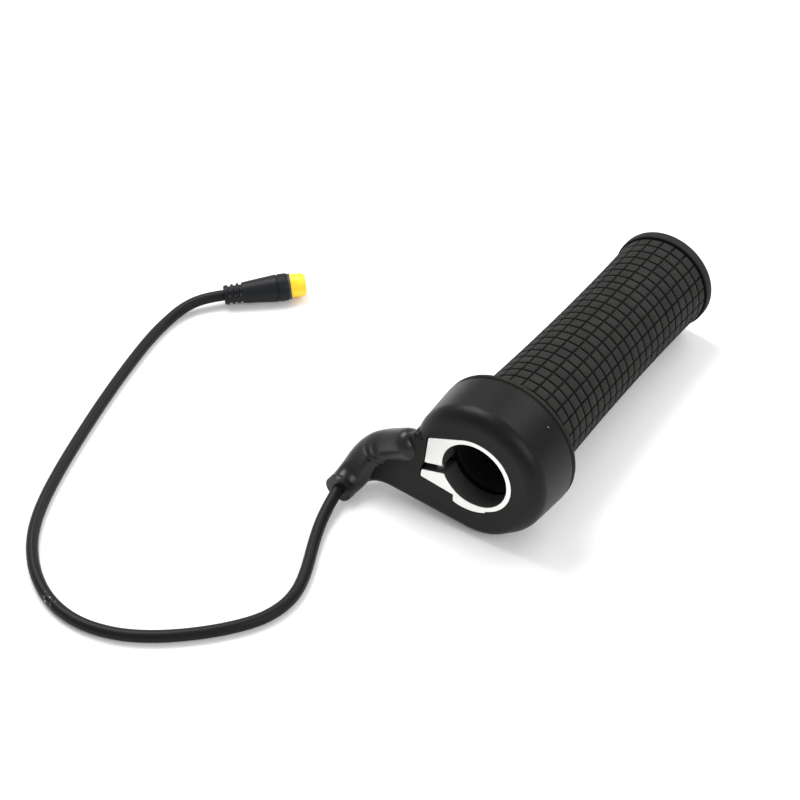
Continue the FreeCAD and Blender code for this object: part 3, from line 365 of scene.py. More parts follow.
class Finish(Tree):
    """A material on object coordinates."""

    def __init__(self, name):
        self.material = bpy.data.materials.new(name)
        self.material.use_nodes = True
        tree = self.material.node_tree
        tree.nodes.clear()
        super().__init__(tree.nodes, tree.links)
        self.place = self.node("ShaderNodeTexCoord", output="Object")
        split = self.node("ShaderNodeSeparateXYZ", None, {0: self.place}).socket.node
        self.x, self.y, self.z = (Value(self, socket) for socket in split.outputs)

    def noise(self, scale, detail, rough=0.5, stretch=(1, 1, 1)):
        """Noise from 0 to 1, finer along an axis that is stretched more."""
        place = self.node("ShaderNodeMapping", None, {"Vector": self.place, "Scale": stretch})
        return self.node(
            "ShaderNodeTexNoise",
            None,
            {"Vector": place, "Scale": scale, "Detail": detail, "Roughness": rough},
        )

    def mix(self, factor, first, second):
        """Colour mix in the node's colour sockets, 6 and 7; first and second are colours or links."""
        full = [part if isinstance(part, Value) else (*part, 1.0) for part in (first, second)]
        return self.node("ShaderNodeMix", {"data_type": "RGBA"}, {0: factor, 6: full[0], 7: full[1]}, 2)

    def attribute(self, name):
        """Value of a mesh attribute."""
        return self.node("ShaderNodeAttribute", {"attribute_name": name}, None, "Fac")

    def bump(self, height, distance, strength):
        """Normal of a fine relief; distance in metres."""
        return self.node(
            "ShaderNodeBump", None, {"Height": height, "Distance": distance, "Strength": strength}
        )

    def spot(self, centre, radius):
        """1 within a small ball round a point, 0 outside."""
        offset = self.node(
            "ShaderNodeVectorMath", {"operation": "DISTANCE"}, {0: self.place, 1: centre}, "Value"
        )
        return offset.ramp(radius, radius * 0.5)

    def done(self, **sockets):
        """Close the material with the shader's sockets, given with underscores for spaces."""
        inputs = {name.replace("_", " "): value for name, value in sockets.items()}
        shader = self.node("ShaderNodeBsdfPrincipled", None, inputs)
        self.node("ShaderNodeOutputMaterial", None, {"Surface": shader})
        return self.material


# Pieces


def add_piece(name, mesh, finish, body, slot, *replaced):
    """Object at the origin that rides on a body and stands for CAD nodes."""
    piece = bpy.data.objects.new(name, mesh)
    bpy.context.scene.collection.objects.link(piece)
    mesh.materials.clear()
    mesh.materials.append(finish)
    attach(piece, body)
    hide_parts(*replaced)
    return piece


def plain_mesh(source):
    """The evaluated object as a plain mesh; the object itself is removed."""
    graph = bpy.context.evaluated_depsgraph_get()
    mesh = bpy.data.meshes.new_from_object(source.evaluated_get(graph))
    bpy.data.objects.remove(source)
    return mesh


def softened(node, edge, picked, picked_round):
    """Copy of a CAD node's mesh, joined up, with its curved faces smooth.

    The edges for which picked is true are rounded by picked_round, then the sharp ones by edge, if not 0.
    """
    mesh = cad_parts[node].data.copy()
    shape = bmesh.new()
    shape.from_mesh(mesh)
    bmesh.ops.remove_doubles(shape, verts=shape.verts, dist=CAD_MERGE)
    bmesh.ops.dissolve_limit(
        shape, angle_limit=CAD_FLAT, verts=shape.verts, edges=shape.edges, delimit={"NORMAL"}
    )
    chosen = [line for line in shape.edges if picked(line)]
    bmesh.ops.bevel(shape, geom=chosen, offset=picked_round, segments=5, profile=0.5, affect="EDGES")
    shape.to_mesh(mesh)
    shape.free()
    mesh.shade_smooth()
    mesh.set_sharp_from_angle(angle=CAD_SHARP)
    helper = bpy.data.objects.new(node + "_soft", mesh)
    bpy.context.scene.collection.objects.link(helper)
    if edge:
        rounding = helper.modifiers.new("edges", "BEVEL")
        rounding.width = edge
        rounding.segments = 3
        rounding.limit_method = "ANGLE"
        rounding.angle_limit = CAD_SHARP
        rounding.use_clamp_overlap = True
    weights = helper.modifiers.new("normals", "WEIGHTED_NORMAL")
    weights.keep_sharp = True
    return plain_mesh(helper)


def lathe(profile, steps):
    """Mesh turned about the bar from (radius, along) points; a radius of 0 closes it."""
    shape = bmesh.new()
    rings = []
    for radius, along in profile:
        if radius == 0:
            rings.append([shape.verts.new((0, along, 0))])
            continue
        turn = [2 * math.pi * step / steps for step in range(steps)]
        rings.append([shape.verts.new((radius * math.cos(a), along, radius * math.sin(a))) for a in turn])
    for first, second in zip(rings, rings[1:]):
        for step in range(steps):
            after = (step + 1) % steps
            corners = [first[step % len(first)], first[after % len(first)]]
            corners += [second[after % len(second)], second[step % len(second)]]
            shape.faces.new(list(dict.fromkeys(corners)))
    bmesh.ops.recalc_face_normals(shape, faces=shape.faces)
    return shape


def join_rings(shape, rings):
    """Skin rings of corners with faces, close both ends, merge doubles and point the faces outwards."""
    for first, second in zip(rings, rings[1:]):
        for step in range(len(first)):
            after = (step + 1) % len(first)
            shape.faces.new((first[step], first[after], second[after], second[step]))
    shape.faces.new(rings[0])
    shape.faces.new(rings[-1])
    bmesh.ops.remove_doubles(shape, verts=shape.verts, dist=MERGE)
    bmesh.ops.recalc_face_normals(shape, faces=shape.faces)


def finished(shape, name, angle=35):
    """Mesh of a shape, smooth but for edges that turn by more than the angle, in degrees."""
    mesh = bpy.data.meshes.new(name)
    shape.to_mesh(mesh)
    shape.free()
    mesh.shade_smooth()
    mesh.set_sharp_from_angle(angle=math.radians(angle))
    return mesh


def arc_points(centre, radius, start, end, count):
    """Points of an arc in the profile plane, angles in degrees from the radius axis."""
    points = []
    for step in range(count + 1):
        angle = math.radians(start + (end - start) * step / count)
        points.append((centre[0] + radius * math.cos(angle), centre[1] + radius * math.sin(angle)))
    return points


def route_curve(name, points):
    """Curve of a smooth spline whose control points are given."""
    curve = bpy.data.curves.new(name, "CURVE")
    curve.dimensions = "3D"
    curve.resolution_u = 16
    spline = curve.splines.new("NURBS")
    spline.points.add(len(points) - 1)
    for spot, point in zip(spline.points, points):
        spot.co = (*point, 1.0)
    spline.order_u = 3
    spline.use_endpoint_u = True
    return curve


def spline_points(points):
    """Points along a smooth spline whose control points are given."""
    helper = bpy.data.objects.new("path", route_curve("path", points))
    bpy.context.scene.collection.objects.link(helper)
    mesh = plain_mesh(helper)
    return [vertex.co.copy() for vertex in mesh.vertices]


# Finishes

# Reflection of the dark plastics and rubbers, about a third of the shader's usual strength
SATIN_SPECULAR = 0.15

# Bright speck on the drum and pale scuff on the cable: place and radius in metres, and colour
SPECK = ((0.01624, 0.01426, 0.01658), 0.00028)
SPECK_COLOUR = (0.30, 0.30, 0.29)
SCUFF = ((-0.0905, -0.0895, -0.0265), 0.004)
SCUFF_COLOUR = (0.22, 0.215, 0.21)

# Shaded faces of the clamp, where the shade begins and where it is full, in metres: radius of the bore, half
# width of the slot and depth behind the front; and the shade's colour
BORE_SHADE = (0.01132, 0.01124)
SLOT_SHADE = (0.00152, 0.00147)
DEPTH_SHADE = (0.00008, 0.00025)
SHADE_COLOUR = (0.006, 0.006, 0.0055)


def housing_finish(tint):
    """Satin moulding with a fine grain and one bright speck."""
    f = Finish("satin_housing")
    grain = f.noise(2600, 3)
    cloud = f.noise(55, 3)
    base = f.mix(cloud * 0.5 + 0.1, tint, [part * 1.45 for part in tint])
    base = f.mix(f.spot(*SPECK), base, SPECK_COLOUR)
    return f.done(
        Base_Color=base,
        Roughness=0.29 + cloud * 0.10 + grain * 0.08,
        Specular_IOR_Level=SATIN_SPECULAR,
        Normal=f.bump(grain, 0.00008, 0.8),
    )


def rubber_finish(top, floor):
    """Dull mottled rubber, with painted shade in the grooves between its blocks and on the blocks' feet."""
    f = Finish("grip_rubber")
    # Share of painted light: 0 gives the painted shade of the groove floors and the blocks' feet, 1 the lit
    # tops
    relief = f.attribute("relief")
    mottle = f.noise(140, 4)
    grain = f.noise(2200, 3)
    tone = f.mix(mottle.ramp(0.3, 0.75), [part * 0.85 for part in top], [part * 1.3 for part in top])
    base = f.mix(relief.ramp(0.15, 0.9), floor, tone)
    return f.done(
        Base_Color=base,
        Roughness=0.62 + mottle * 0.12 + grain * 0.06,
        Specular_IOR_Level=SATIN_SPECULAR,
        Normal=f.bump(grain, 0.00006, 0.6),
    )


def clamp_finish(tint):
    """Metal with fine machining lines, black in its bore and its slot."""
    f = Finish("machined_clamp")
    lines = f.noise(900, 3, 0.6, (0.06, 1.0, 1.0))
    cloud = f.noise(120, 2)
    base = f.mix(lines * 0.6 + cloud * 0.4, [part * 0.9 for part in tint], tint)
    radius = (f.x * f.x + f.z * f.z).do("SQRT")
    roll = math.radians(CLAMP_ROLL)
    across = (f.z * math.cos(roll) - f.x * math.sin(roll)).do("ABSOLUTE")
    behind = f.y.ramp(*DEPTH_SHADE)
    inside = radius.ramp(*BORE_SHADE).do("MAXIMUM", across.ramp(*SLOT_SHADE)) * behind
    base = f.mix(inside * 0.97, base, SHADE_COLOUR)
    return f.done(
        Base_Color=base,
        Metallic=1.0 - inside,
        Roughness=0.30 + lines * 0.16 + inside * 0.25,
        Normal=f.bump(lines, 0.00002, 0.35),
    )


def boot_finish(tint):
    """Smooth, slightly glossy moulding."""
    f = Finish("boot_rubber")
    grain = f.noise(2400, 3)
    cloud = f.noise(70, 3)
    base = f.mix(cloud * 0.7, tint, [part * 1.5 for part in tint])
    return f.done(
        Base_Color=base,
        Roughness=0.24 + cloud * 0.12 + grain * 0.05,
        Specular_IOR_Level=SATIN_SPECULAR * 2,
        Normal=f.bump(grain, 0.00004, 0.5),
    )


def cable_finish(tint):
    """Jacket with small worn places and one pale scuff."""
    f = Finish("cable_jacket")
    grain = f.noise(1500, 3)
    wear = f.noise(260, 5, 0.7).ramp(0.66, 0.80)
    scuff = f.spot(*SCUFF) * f.noise(700, 3).ramp(0.56, 0.66)
    base = f.mix(wear * 0.35, tint, [part * 3.2 for part in tint])
    base = f.mix(scuff, base, SCUFF_COLOUR)
    return f.done(
        Base_Color=base,
        Roughness=0.40 + grain * 0.1 + wear * 0.2,
        Specular_IOR_Level=SATIN_SPECULAR,
        Normal=f.bump(grain, 0.00004, 0.4),
    )


def connector_finish(tint):
    f = Finish("connector_plastic")
    grain = f.noise(2800, 3)
    cloud = f.noise(180, 3)
    base = f.mix(cloud * 0.6, tint, [part * 1.6 for part in tint])
    return f.done(
        Base_Color=base,
        Roughness=0.38 + cloud * 0.15,
        Specular_IOR_Level=SATIN_SPECULAR,
        Normal=f.bump(grain, 0.00004, 0.5),
    )


def insert_finish(tint):
    f = Finish("yellow_insert")
    cloud = f.noise(260, 3)
    grain = f.noise(3200, 2)
    base = f.mix(cloud.ramp(0.35, 0.7), tint, (tint[0], tint[1] * 1.18, tint[2] * 3))
    return f.done(Base_Color=base, Roughness=0.30 + cloud * 0.14, Normal=f.bump(grain, 0.00002, 0.3))


def inner_finish(name, tint, metallic, rough):
    """Finish of the pieces that the casing hides."""
    f = Finish(name)
    cloud = f.noise(300, 3)
    base = f.mix(cloud, [part * 0.85 for part in tint], tint)
    return f.done(Base_Color=base, Metallic=metallic, Roughness=rough + cloud * 0.1)


# Operators


class THROTTLE_OT_stage(Operator):
    """Lay the pale table, the studio light and the camera"""

    bl_idname = "throttle.stage"
    bl_label = "Stage"

    def execute(self, context):
        scene = context.scene
        scene.view_settings.view_transform = "Standard"
        self.lay_floor(scene)
        self.hang_lamps(scene)
        self.set_camera(scene)
        return {"FINISHED"}

    def lay_floor(self, scene):
        """Table with a faint glow for the rays that see it."""
        spots = [(x * TABLE_HALF, y * TABLE_HALF) for x, y in ((-1, -1), (1, -1), (1, 1), (-1, 1))]
        mesh = bpy.data.meshes.new("table")
        mesh.from_pydata([(x, y, table_height(y) - TABLE_DROP) for x, y in spots], [], [(0, 1, 2, 3)])
        floor = bpy.data.objects.new("table", mesh)
        scene.collection.objects.link(floor)
        f = Finish("pale_table")
        path = f.node("ShaderNodeLightPath").socket.node
        first, second, third = (Value(f, path.outputs[name]) for name in SEEN_RAYS)
        seen = first.do("MAXIMUM", second).do("MAXIMUM", third)
        paint = f.node("ShaderNodeBsdfDiffuse", None, {"Color": f.mix(f.noise(3, 2), *TABLE_WHITES)})
        glow = f.node("ShaderNodeEmission", None, {"Color": WHITE, "Strength": 1.0})
        blend = f.node("ShaderNodeMixShader", None, {0: seen * TABLE_GLOW, 1: paint, 2: glow})
        f.node("ShaderNodeOutputMaterial", None, {"Surface": blend})
        mesh.materials.append(f.material)

    def hang_lamps(self, scene):
        """Even light all round and three square lamps."""
        world = bpy.data.worlds.new("studio")
        scene.world = world
        world.use_nodes = True
        sky = world.node_tree.nodes["Background"]
        sky.inputs["Color"].default_value = WHITE
        sky.inputs["Strength"].default_value = ROOM_LIGHT
        for name, spot, aim, size, power in LAMPS:
            lamp = bpy.data.lights.new(name, "AREA")
            lamp.shape = "SQUARE"
            lamp.size = size
            lamp.energy = power
            holder = bpy.data.objects.new(name, lamp)
            scene.collection.objects.link(holder)
            holder.location = spot
            holder.rotation_euler = (Vector(aim) - Vector(spot)).to_track_quat("-Z", "Y").to_euler()

    def set_camera(self, scene):
        """Camera that looks down on the drum's face from its side."""
        lens = bpy.data.cameras.new("camera")
        lens.sensor_width = CAMERA_SENSOR
        lens.lens = CAMERA_LENS
        lens.clip_start, lens.clip_end = CAMERA_RANGE
        camera = bpy.data.objects.new("camera", lens)
        scene.collection.objects.link(camera)
        camera.location = CAMERA_PLACE
        camera.rotation_euler = [math.radians(turn) for turn in CAMERA_TURN]
        scene.camera = camera


class THROTTLE_OT_cable(Operator):
    """Lay the cable along its route"""

    bl_idname = "throttle.cable"
    bl_label = "Cable"

    def execute(self, context):
        sizes = context.scene.throttle_sizes
        route = [above_table(*point) for point in CABLE_ROUTE]
        curve = route_curve("cable_jacket", route)
        curve.bevel_depth = sizes.cable_radius
        curve.bevel_resolution = 6
        curve.use_fill_caps = True
        cable = add_piece(
            "cable_jacket",
            curve,
            cable_finish(context.scene.throttle_colours.cable),
            "housing",
            "cable_jacket",
            "cable",
        )
        return {"FINISHED"}


class THROTTLE_OT_connector(Operator):
    """Finish the connector at the end of the cable"""

    bl_idname = "throttle.connector"
    bl_label = "Connector"

    def execute(self, context):
        colours = context.scene.throttle_colours
        add_piece(
            "connector_shell",
            self.seated(self.shell(), "connector_shell"),
            connector_finish(colours.connector),
            "housing",
            "connector_plastic",
            "connector_body",
        )
        add_piece(
            "connector_socket",
            self.seated(lathe(self.socket_profile(), PLUG_STEPS), "connector_socket"),
            insert_finish(colours.insert),
            "housing",
            "insert_yellow",
            "connector_insert",
        )
        return {"FINISHED"}

    def seated(self, shape, name):
        """Mesh moved from its own axis, millimetres along Y, to the end of the cable."""
        along = Vector(PLUG_WAY)
        side = along.cross(Vector((0, 0, 1))).normalized()
        turn = Matrix((side.cross(along), along, -side)).transposed().to_4x4()
        root = Matrix.Translation(above_table(*CABLE_ROUTE[-1]))
        bmesh.ops.transform(shape, matrix=root @ turn @ Matrix.Scale(MM, 4), verts=shape.verts)
        return finished(shape, name, 40)

    def shell(self):
        """Tapered body with three cross slots on both sides of its strain relief."""
        profile = list(SHELL_TAIL)
        for step in range(RELIEF_RINGS + 1):
            pairs = zip(RELIEF_START, RELIEF_GROWTH)
            profile.append(tuple(start + growth * step / RELIEF_RINGS for start, growth in pairs))
        shape = lathe(profile + SHELL_BODY, PLUG_STEPS)
        for vertex in shape.verts:
            x, along, z = vertex.co
            radius = math.hypot(x, z)
            if radius < SLOT_LEAST:
                continue
            inside = max(SLOT_HALF - abs(along - place) for place in RELIEF_SLOTS)
            depth = min(1.0, inside / SLOT_EDGE)
            spread = min(1.0, (abs(x) / radius - SLOT_BEGIN) / SLOT_SPREAD)
            if depth <= 0 or spread <= 0:
                continue
            share = 1 - depth * spread * SLOT_DEPTH / radius
            vertex.co = (x * share, along, z * share)
        return shape

    def socket_profile(self):
        """Insert with a rounded mouth and a round socket."""
        return INSERT_FOOT + arc_points(*INSERT_MOUTH) + INSERT_SOCKET


class THROTTLE_OT_boot(Operator):
    """Mould the bent boot between the housing and the cable"""

    bl_idname = "throttle.boot"
    bl_label = "Cable boot"

    def execute(self, context):
        sizes = context.scene.throttle_sizes
        spots = self.spots(sizes)
        lengths = [0.0]
        for (before, _), (after, _) in zip(spots, spots[1:]):
            lengths.append(lengths[-1] + (after - before).length)
        turns = [2 * math.pi * step / BOOT_STEPS for step in range(BOOT_STEPS)]
        shape = bmesh.new()
        side = None
        rings = []
        for index, (spot, swell) in enumerate(spots):
            way = (spots[min(index + 1, len(spots) - 1)][0] - spots[max(index - 1, 0)][0]).normalized()
            side = (way.orthogonal() if side is None else side - way * side.dot(way)).normalized()
            other = way.cross(side)
            share = lengths[index] / lengths[-1]
            outs = [side * math.cos(turn) + other * math.sin(turn) for turn in turns]
            rings.append([shape.verts.new(spot + out * self.reach(sizes, share, swell, out)) for out in outs])
        join_rings(shape, rings)
        add_piece(
            "boot_mould",
            finished(shape, "boot_mould"),
            boot_finish(context.scene.throttle_colours.boot),
            "housing",
            "boot_rubber",
            "cable_boot",
        )
        return {"FINISHED"}

    def spots(self, sizes):
        """Places along the middle line, each with the part of the radius that the domed start leaves it."""
        route = [Vector(point) * MM for point in BOOT_START] + [above_table(*CABLE_ROUTE[0])]
        path = spline_points(route)
        start_way = (path[1] - path[0]).normalized()
        dome = [math.radians(angle) for angle in BOOT_DOME]
        spots = [(path[0] - start_way * sizes.boot_root * math.sin(turn), math.cos(turn)) for turn in dome]
        return spots + [(spot, 1.0) for spot in path]

    def reach(self, sizes, share, swell, out):
        """Distance of the skin from the middle line on one side, out, at a share of the boot's length."""
        radius = (sizes.boot_root + share * (sizes.boot_end - sizes.boot_root)) * swell
        radius += sizes.boot_collar if share > 1 - BOOT_COLLAR_SHARE else 0.0
        crease = sum(math.exp(-(((share - place) / CREASE_WIDTH) ** 2)) for place in CREASES)
        gusset = max(0.0, math.sin(math.pi * (share - GUSSET_START) / (1 - GUSSET_START)))
        shoulder = swell * (1 + math.cos(math.pi * min(1.0, share / SHOULDER_SHARE))) / 2
        radius += sizes.boot_crease * crease * max(0.0, out.dot(CREASE_SIDE)) ** 2
        radius += sizes.boot_gusset * gusset * max(0.0, out.dot(GUSSET_SIDE)) ** 2
        radius += sizes.boot_shoulder * shoulder * max(0.0, out.dot(SHOULDER_SIDE)) ** 2
        return radius


class THROTTLE_OT_housing(Operator):
    """Finish the moulded housing"""

    bl_idname = "throttle.housing"
    bl_label = "Housing"

    def execute(self, context):
        mesh = softened("housing", 0, self.arm_edge, context.scene.throttle_sizes.arm_round)
        self.even_side(mesh)
        add_piece(
            "housing_mould",
            mesh,
            housing_finish(context.scene.throttle_colours.housing),
            "housing",
            "housing_plastic",
            "housing",
        )
        return {"FINISHED"}

    def even_side(self, mesh):
        """Shade the drum's tapered side as one round face, whatever triangles the arm leaves in it."""
        normals = [corner.vector.copy() for corner in mesh.corner_normals]
        for face in mesh.polygons:
            out = Vector((face.center.x, 0, face.center.z))
            leans = abs(face.normal.y) > DRUM_TAPER_MOST
            turned = face.normal.dot(out) < out.length * DRUM_SIDE_OUT
            if leans or turned or out.length < DRUM_SIDE_LEAST:
                continue
            for loop in face.loop_indices:
                spot = mesh.vertices[mesh.loops[loop].vertex_index].co
                side = Vector((spot.x, 0, spot.z)).normalized()
                normals[loop] = (side + Vector((0, face.normal.y, 0))).normalized()
        mesh.normals_split_custom_set(normals)

    def arm_edge(self, line):
        """True for the outer edges of the arm: its tips, its back rim and its front over the boot."""
        first, second = (corner.co / MM for corner in line.verts)
        if line.calc_face_angle_signed(0.0) < ARM_EDGE_TURN:
            return False
        if max(first.y, second.y) < ARM_NEAR and min(first.z, second.z) > WEB_FRONT_FOOT:
            return max(first.x, second.x) < WEB_FRONT_START
        tip = math.dist(first.xz, second.xz) < ARM_NEAR
        back = min(first.y, second.y) > ARM_BACK - ARM_NEAR
        return max(first.x, second.x) < ARM_EDGE_START and (tip or back)


class THROTTLE_OT_clamp(Operator):
    """Finish the split clamp"""

    bl_idname = "throttle.clamp"
    bl_label = "Clamp"

    def execute(self, context):
        sizes = context.scene.throttle_sizes
        add_piece(
            "clamp_machined",
            softened("clamp_ring", sizes.edge_round, self.lug_corner, sizes.lug_round),
            clamp_finish(context.scene.throttle_colours.clamp),
            "housing",
            "clamp_aluminium",
            "clamp_ring",
        )
        return {"FINISHED"}

    def lug_corner(self, line):
        """True for the edges along the bar at the lugs' corners."""
        turn = Matrix.Rotation(math.radians(CLAMP_ROLL), 2)
        corners = [turn @ Vector(place) * MM for place in LUG_CORNERS]
        return any(
            all((end.co.xz - corner).length < LUG_NEAR for end in line.verts) for corner in corners
        )


class THROTTLE_OT_grip(Operator):
    """Mould the rubber grip with its rows of blocks"""

    bl_idname = "throttle.grip"
    bl_label = "Grip rubber"

    def execute(self, context):
        sizes = context.scene.throttle_sizes
        colours = context.scene.throttle_colours
        finish = rubber_finish(colours.rubber, colours.groove)
        core = bpy.data.objects.new("grip_core", self.core(sizes))
        block = bpy.data.objects.new("tread_block", self.block(sizes))
        for helper in (core, block):
            context.scene.collection.objects.link(helper)
        growth = core.modifiers.new("tread", "NODES")
        growth.node_group = self.tree()
        values = {
            "Rows": sizes.tread_rows,
            "Columns": sizes.tread_columns,
            "Start": sizes.tread_start,
            "Pitch": sizes.tread_pitch,
            "Front radius": sizes.front_radius,
            "Waist radius": sizes.waist_radius,
            "Waist place": sizes.waist_at,
            "End radius": sizes.end_radius,
            "Block": block,
            "Finish": finish,
        }
        for item in growth.node_group.interface.items_tree:
            if item.item_type == "SOCKET" and item.in_out == "INPUT" and item.name in values:
                growth[item.identifier] = values[item.name]
        context.view_layer.update()
        mesh = plain_mesh(core)
        bpy.data.objects.remove(block)
        add_piece("grip_mould", mesh, finish, "grip", "grip_rubber", "grip_rubber")
        return {"FINISHED"}

    def tread_radius(self, sizes, along):
        """Radius over the blocks: two parabolas that meet at the waist."""
        far, radius = sizes.tread_start, sizes.front_radius
        if along > sizes.waist_at:
            far = sizes.tread_start + sizes.tread_rows * sizes.tread_pitch
            radius = sizes.end_radius
        share = (along - sizes.waist_at) / (far - sizes.waist_at)
        return sizes.waist_radius + (radius - sizes.waist_radius) * share**2

    def core(self, sizes):
        """Rubber below the blocks: flared flange, tread floor, end rim, closed end and the sleeve's bore."""
        first = sizes.tread_start
        end = first + sizes.tread_rows * sizes.tread_pitch
        half = sizes.groove_width / 2
        profile = [(sizes.sleeve_radius, GRIP_FLANGE[0][1]), *GRIP_FLANGE]
        lip, lip_along = GRIP_FLANGE[-1]
        for step in range(1, FLARE_STEPS + 1):
            angle = step / FLARE_STEPS * math.pi / 2
            along = lip_along + FLARE_LENGTH * (1 - math.cos(angle))
            profile.append((lip - FLARE_FALL * math.sin(angle), along))
        profile += [(sizes.front_radius + FLARE_FOOT, first - half * 2), (sizes.front_radius, first - half)]
        steps = sizes.tread_rows * 2
        tread = [first - half + (end - first + 2 * half) * step / steps for step in range(steps + 1)]
        profile += [(self.tread_radius(sizes, along) - sizes.groove_depth, along) for along in tread]
        profile += [(RIM_RADIUS - below, end + half + off) for below, off in RIM_FOOT]
        profile += arc_points((RIM_RADIUS - RIM_ROUND, GRIP_END - RIM_ROUND), RIM_ROUND, 0, 90, 5)
        profile += [(0.0, GRIP_END)]
        closing = [(0.0, BORE_END), (sizes.sleeve_radius, BORE_END), profile[0]]
        shape = lathe(profile, sizes.tread_columns * COLUMN_STEPS)
        bore = lathe(closing, sizes.tread_columns * COLUMN_STEPS)
        wall = bpy.data.meshes.new("bore")
        bmesh.ops.reverse_faces(bore, faces=bore.faces)
        bore.to_mesh(wall)
        bore.free()
        shape.from_mesh(wall)
        bmesh.ops.remove_doubles(shape, verts=shape.verts, dist=MERGE)
        mesh = finished(shape, "grip_core")
        # Painted shade mask: 0 on the tread's floor, a little painted shade on the plain rubber
        relief = mesh.attributes.new("relief", "FLOAT", "POINT")
        for item, vertex in zip(relief.data, mesh.vertices):
            on_tread = tread[0] - FLOOR_SLACK < vertex.co.y < tread[-1] + FLOOR_SLACK
            low = math.hypot(vertex.co.x, vertex.co.z) < sizes.front_radius - FLOOR_BELOW
            item.value = 0.0 if on_tread and low else PLAIN_LIT_SHARE
        return mesh

    def block(self, sizes):
        """One block, its top at the origin: x around, y along, z out."""
        reach = math.pi * sizes.waist_radius / sizes.tread_columns - sizes.groove_width / 2
        deep = (sizes.tread_pitch - sizes.groove_width) / 2
        spread, sink = BLOCK_FOOT
        shape = bmesh.new()
        # Share of painted light at each corner of the block: painted shade at its foot and on its lower rows
        layer = shape.verts.layers.float.new("relief")
        rings = []
        for grow, height, relief in ((spread, -sizes.groove_depth - sink, 0.0), *BLOCK_ROWS):
            ring = []
            for quarter in range(4):
                middle = math.pi / 4 + quarter * math.pi / 2
                across = math.copysign(reach - BLOCK_CORNER, math.cos(middle))
                along = math.copysign(deep - BLOCK_CORNER, math.sin(middle))
                for step in range(CORNER_STEPS + 1):
                    angle = math.pi / 2 * (quarter + step / CORNER_STEPS)
                    x = across + (BLOCK_CORNER + grow) * math.cos(angle)
                    y = along + (BLOCK_CORNER + grow) * math.sin(angle)
                    if grow < -BLOCK_CORNER:
                        x, y = across * BLOCK_FLAT, along * BLOCK_FLAT
                    drop = sizes.waist_radius - math.sqrt(sizes.waist_radius**2 - x**2)
                    vertex = shape.verts.new((x, y, height - drop))
                    vertex[layer] = relief
                    ring.append(vertex)
            rings.append(ring)
        join_rings(shape, rings)
        return finished(shape, "tread_block", 80)

    def tree(self):
        """Blocks on an hourglass: rows along the bar and columns round it, joined to the core."""
        group = bpy.data.node_groups.new("tread", "GeometryNodeTree")
        sockets = group.interface
        sockets.new_socket("Geometry", in_out="OUTPUT", socket_type="NodeSocketGeometry")
        sockets.new_socket("Geometry", in_out="INPUT", socket_type="NodeSocketGeometry")
        for name in ("Rows", "Columns"):
            sockets.new_socket(name, in_out="INPUT", socket_type="NodeSocketInt")
        for name in ("Start", "Pitch", "Front radius", "Waist radius", "Waist place", "End radius"):
            sockets.new_socket(name, in_out="INPUT", socket_type="NodeSocketFloat")
        sockets.new_socket("Block", in_out="INPUT", socket_type="NodeSocketObject")
        sockets.new_socket("Finish", in_out="INPUT", socket_type="NodeSocketMaterial")
        t = Tree(group.nodes, group.links)
        entry = group.nodes.new("NodeGroupInput")
        given = {socket.name: Value(t, socket) for socket in entry.outputs if socket.name}
        rows, columns = given["Rows"], given["Columns"]
        waist, waist_at = given["Waist radius"], given["Waist place"]
        grid = t.node("GeometryNodeMeshGrid", None, {"Vertices X": columns, "Vertices Y": rows})
        index = t.node("GeometryNodeInputIndex")
        column = (index / rows).do("FLOOR")
        row = index - column * rows
        angle = (column + 0.5) * (2 * math.pi) / columns
        along = given["Start"] + (row + 0.5) * given["Pitch"]
        off = along - waist_at
        front = given["Start"] - waist_at
        back = given["Start"] + rows * given["Pitch"] - waist_at
        bend = (off < 0.0) * (given["Front radius"] - waist) / (front * front)
        bend = bend + (off > 0.0) * (given["End radius"] - waist) / (back * back)
        radius = waist + off * off * bend
        spot = t.node(
            "ShaderNodeCombineXYZ",
            None,
            {0: radius * angle.do("COSINE"), 1: along, 2: radius * angle.do("SINE")},
        )
        lean = (off * bend * 2.0).do("ARCTANGENT")
        turn = t.node("ShaderNodeCombineXYZ", None, {0: lean, 1: math.pi / 2 - angle, 2: 0.0})
        stretch = t.node("ShaderNodeCombineXYZ", None, {0: radius / waist, 1: 1.0, 2: 1.0})
        placed = t.node("GeometryNodeSetPosition", None, {"Geometry": grid, "Position": spot})
        block = t.node("GeometryNodeObjectInfo", None, {"Object": given["Block"]}, "Geometry")
        blocks = t.node(
            "GeometryNodeInstanceOnPoints",
            None,
            {"Points": placed, "Instance": block, "Rotation": turn, "Scale": stretch},
        )
        joined = group.nodes.new("GeometryNodeJoinGeometry")
        t.links.new(given["Geometry"].socket, joined.inputs[0])
        t.links.new(blocks.socket, joined.inputs[0])
        whole = t.node("GeometryNodeRealizeInstances", None, {0: Value(t, joined.outputs[0])})
        dressed = t.node("GeometryNodeSetMaterial", None, {"Geometry": whole, "Material": given["Finish"]})
        leave = group.nodes.new("NodeGroupOutput")
        t.links.new(dressed.socket, leave.inputs[0])
        return group


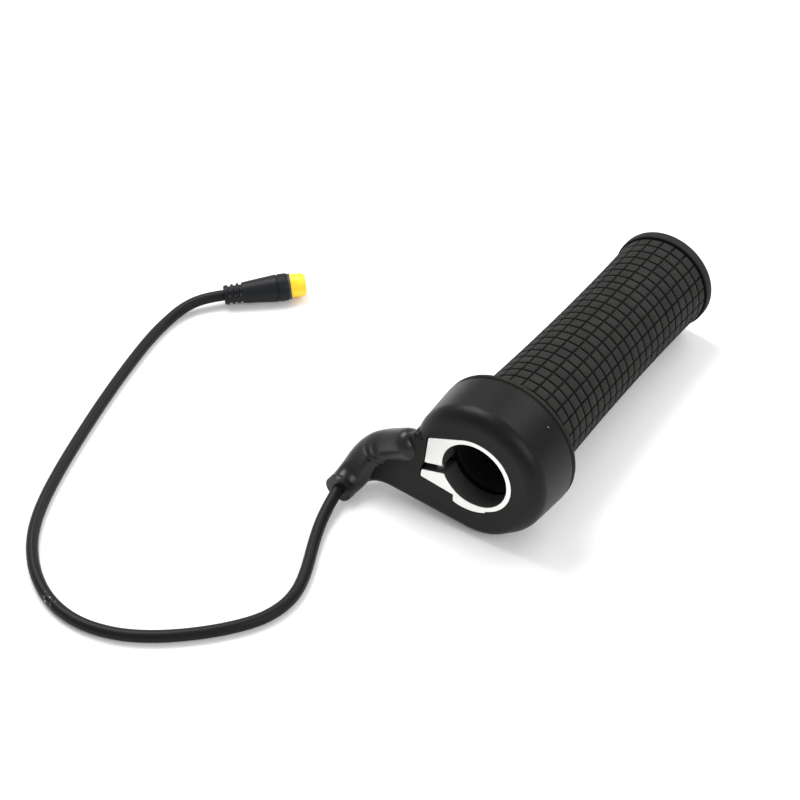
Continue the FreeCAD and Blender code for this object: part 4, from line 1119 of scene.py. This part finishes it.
class THROTTLE_OT_inner(Operator):
    """Give the pieces inside the casing their finishes"""

    bl_idname = "throttle.inner"
    bl_label = "Inner pieces"

    def execute(self, context):
        steel = inner_finish("plain_steel", (0.55, 0.56, 0.58), 1.0, 0.32)
        dark = inner_finish("moulded_black", (0.03, 0.03, 0.032), 0.0, 0.45)
        bore = inner_finish("moulded_sleeve", (0.006, 0.006, 0.006), 0.0, 0.7)
        finishes = {
            "clamp_screw": steel,
            "cover_screws": steel,
            "return_spring": steel,
            "rear_cover": dark,
            "twist_sleeve": bore,
            "hall_sensor": dark,
            "connector_seal": dark,
            "thrust_washer": inner_finish("nylon", (0.8, 0.79, 0.75), 0.0, 0.4),
            "magnet_1": inner_finish("nickel", (0.7, 0.69, 0.66), 1.0, 0.22),
            "sensor_board": inner_finish("green_lacquer", (0.03, 0.2, 0.09), 0.0, 0.3),
            "sensor_leads": inner_finish("red_sleeving", (0.55, 0.05, 0.04), 0.0, 0.35),
            "contact_pins": inner_finish("brass", (0.8, 0.6, 0.26), 1.0, 0.25),
        }
        finishes["magnet_2"] = finishes["magnet_1"]
        for node, finish in finishes.items():
            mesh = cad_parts[node].data
            mesh.materials.clear()
            mesh.materials.append(finish)
        return {"FINISHED"}


class THROTTLE_PT_panel(Panel):
    """Lists the pieces of the throttle and their sizes and colours"""

    bl_label = "Twist throttle"
    bl_idname = "THROTTLE_PT_panel"
    bl_space_type = "VIEW_3D"
    bl_region_type = "UI"
    bl_category = "Throttle"

    def draw(self, context):
        for operator in OPERATORS:
            self.layout.operator(operator.bl_idname)
        for group in (context.scene.throttle_sizes, context.scene.throttle_colours):
            box = self.layout.box()
            for name in group.__annotations__:
                box.prop(group, name)


OPERATORS = (
    THROTTLE_OT_stage,
    THROTTLE_OT_inner,
    THROTTLE_OT_housing,
    THROTTLE_OT_clamp,
    THROTTLE_OT_grip,
    THROTTLE_OT_boot,
    THROTTLE_OT_connector,
    THROTTLE_OT_cable,
)
CLASSES = (ThrottleSizes, ThrottleColours, *OPERATORS, THROTTLE_PT_panel)


def register():
    for item in CLASSES:
        bpy.utils.register_class(item)
    bpy.types.Scene.throttle_sizes = PointerProperty(type=ThrottleSizes)
    bpy.types.Scene.throttle_colours = PointerProperty(type=ThrottleColours)


def unregister():
    del bpy.types.Scene.throttle_colours
    del bpy.types.Scene.throttle_sizes
    for item in reversed(CLASSES):
        bpy.utils.unregister_class(item)


def main():
    register()
    for operator in OPERATORS:
        group, name = operator.bl_idname.split(".")
        getattr(getattr(bpy.ops, group), name)()


if __name__ == "__main__":
    main()
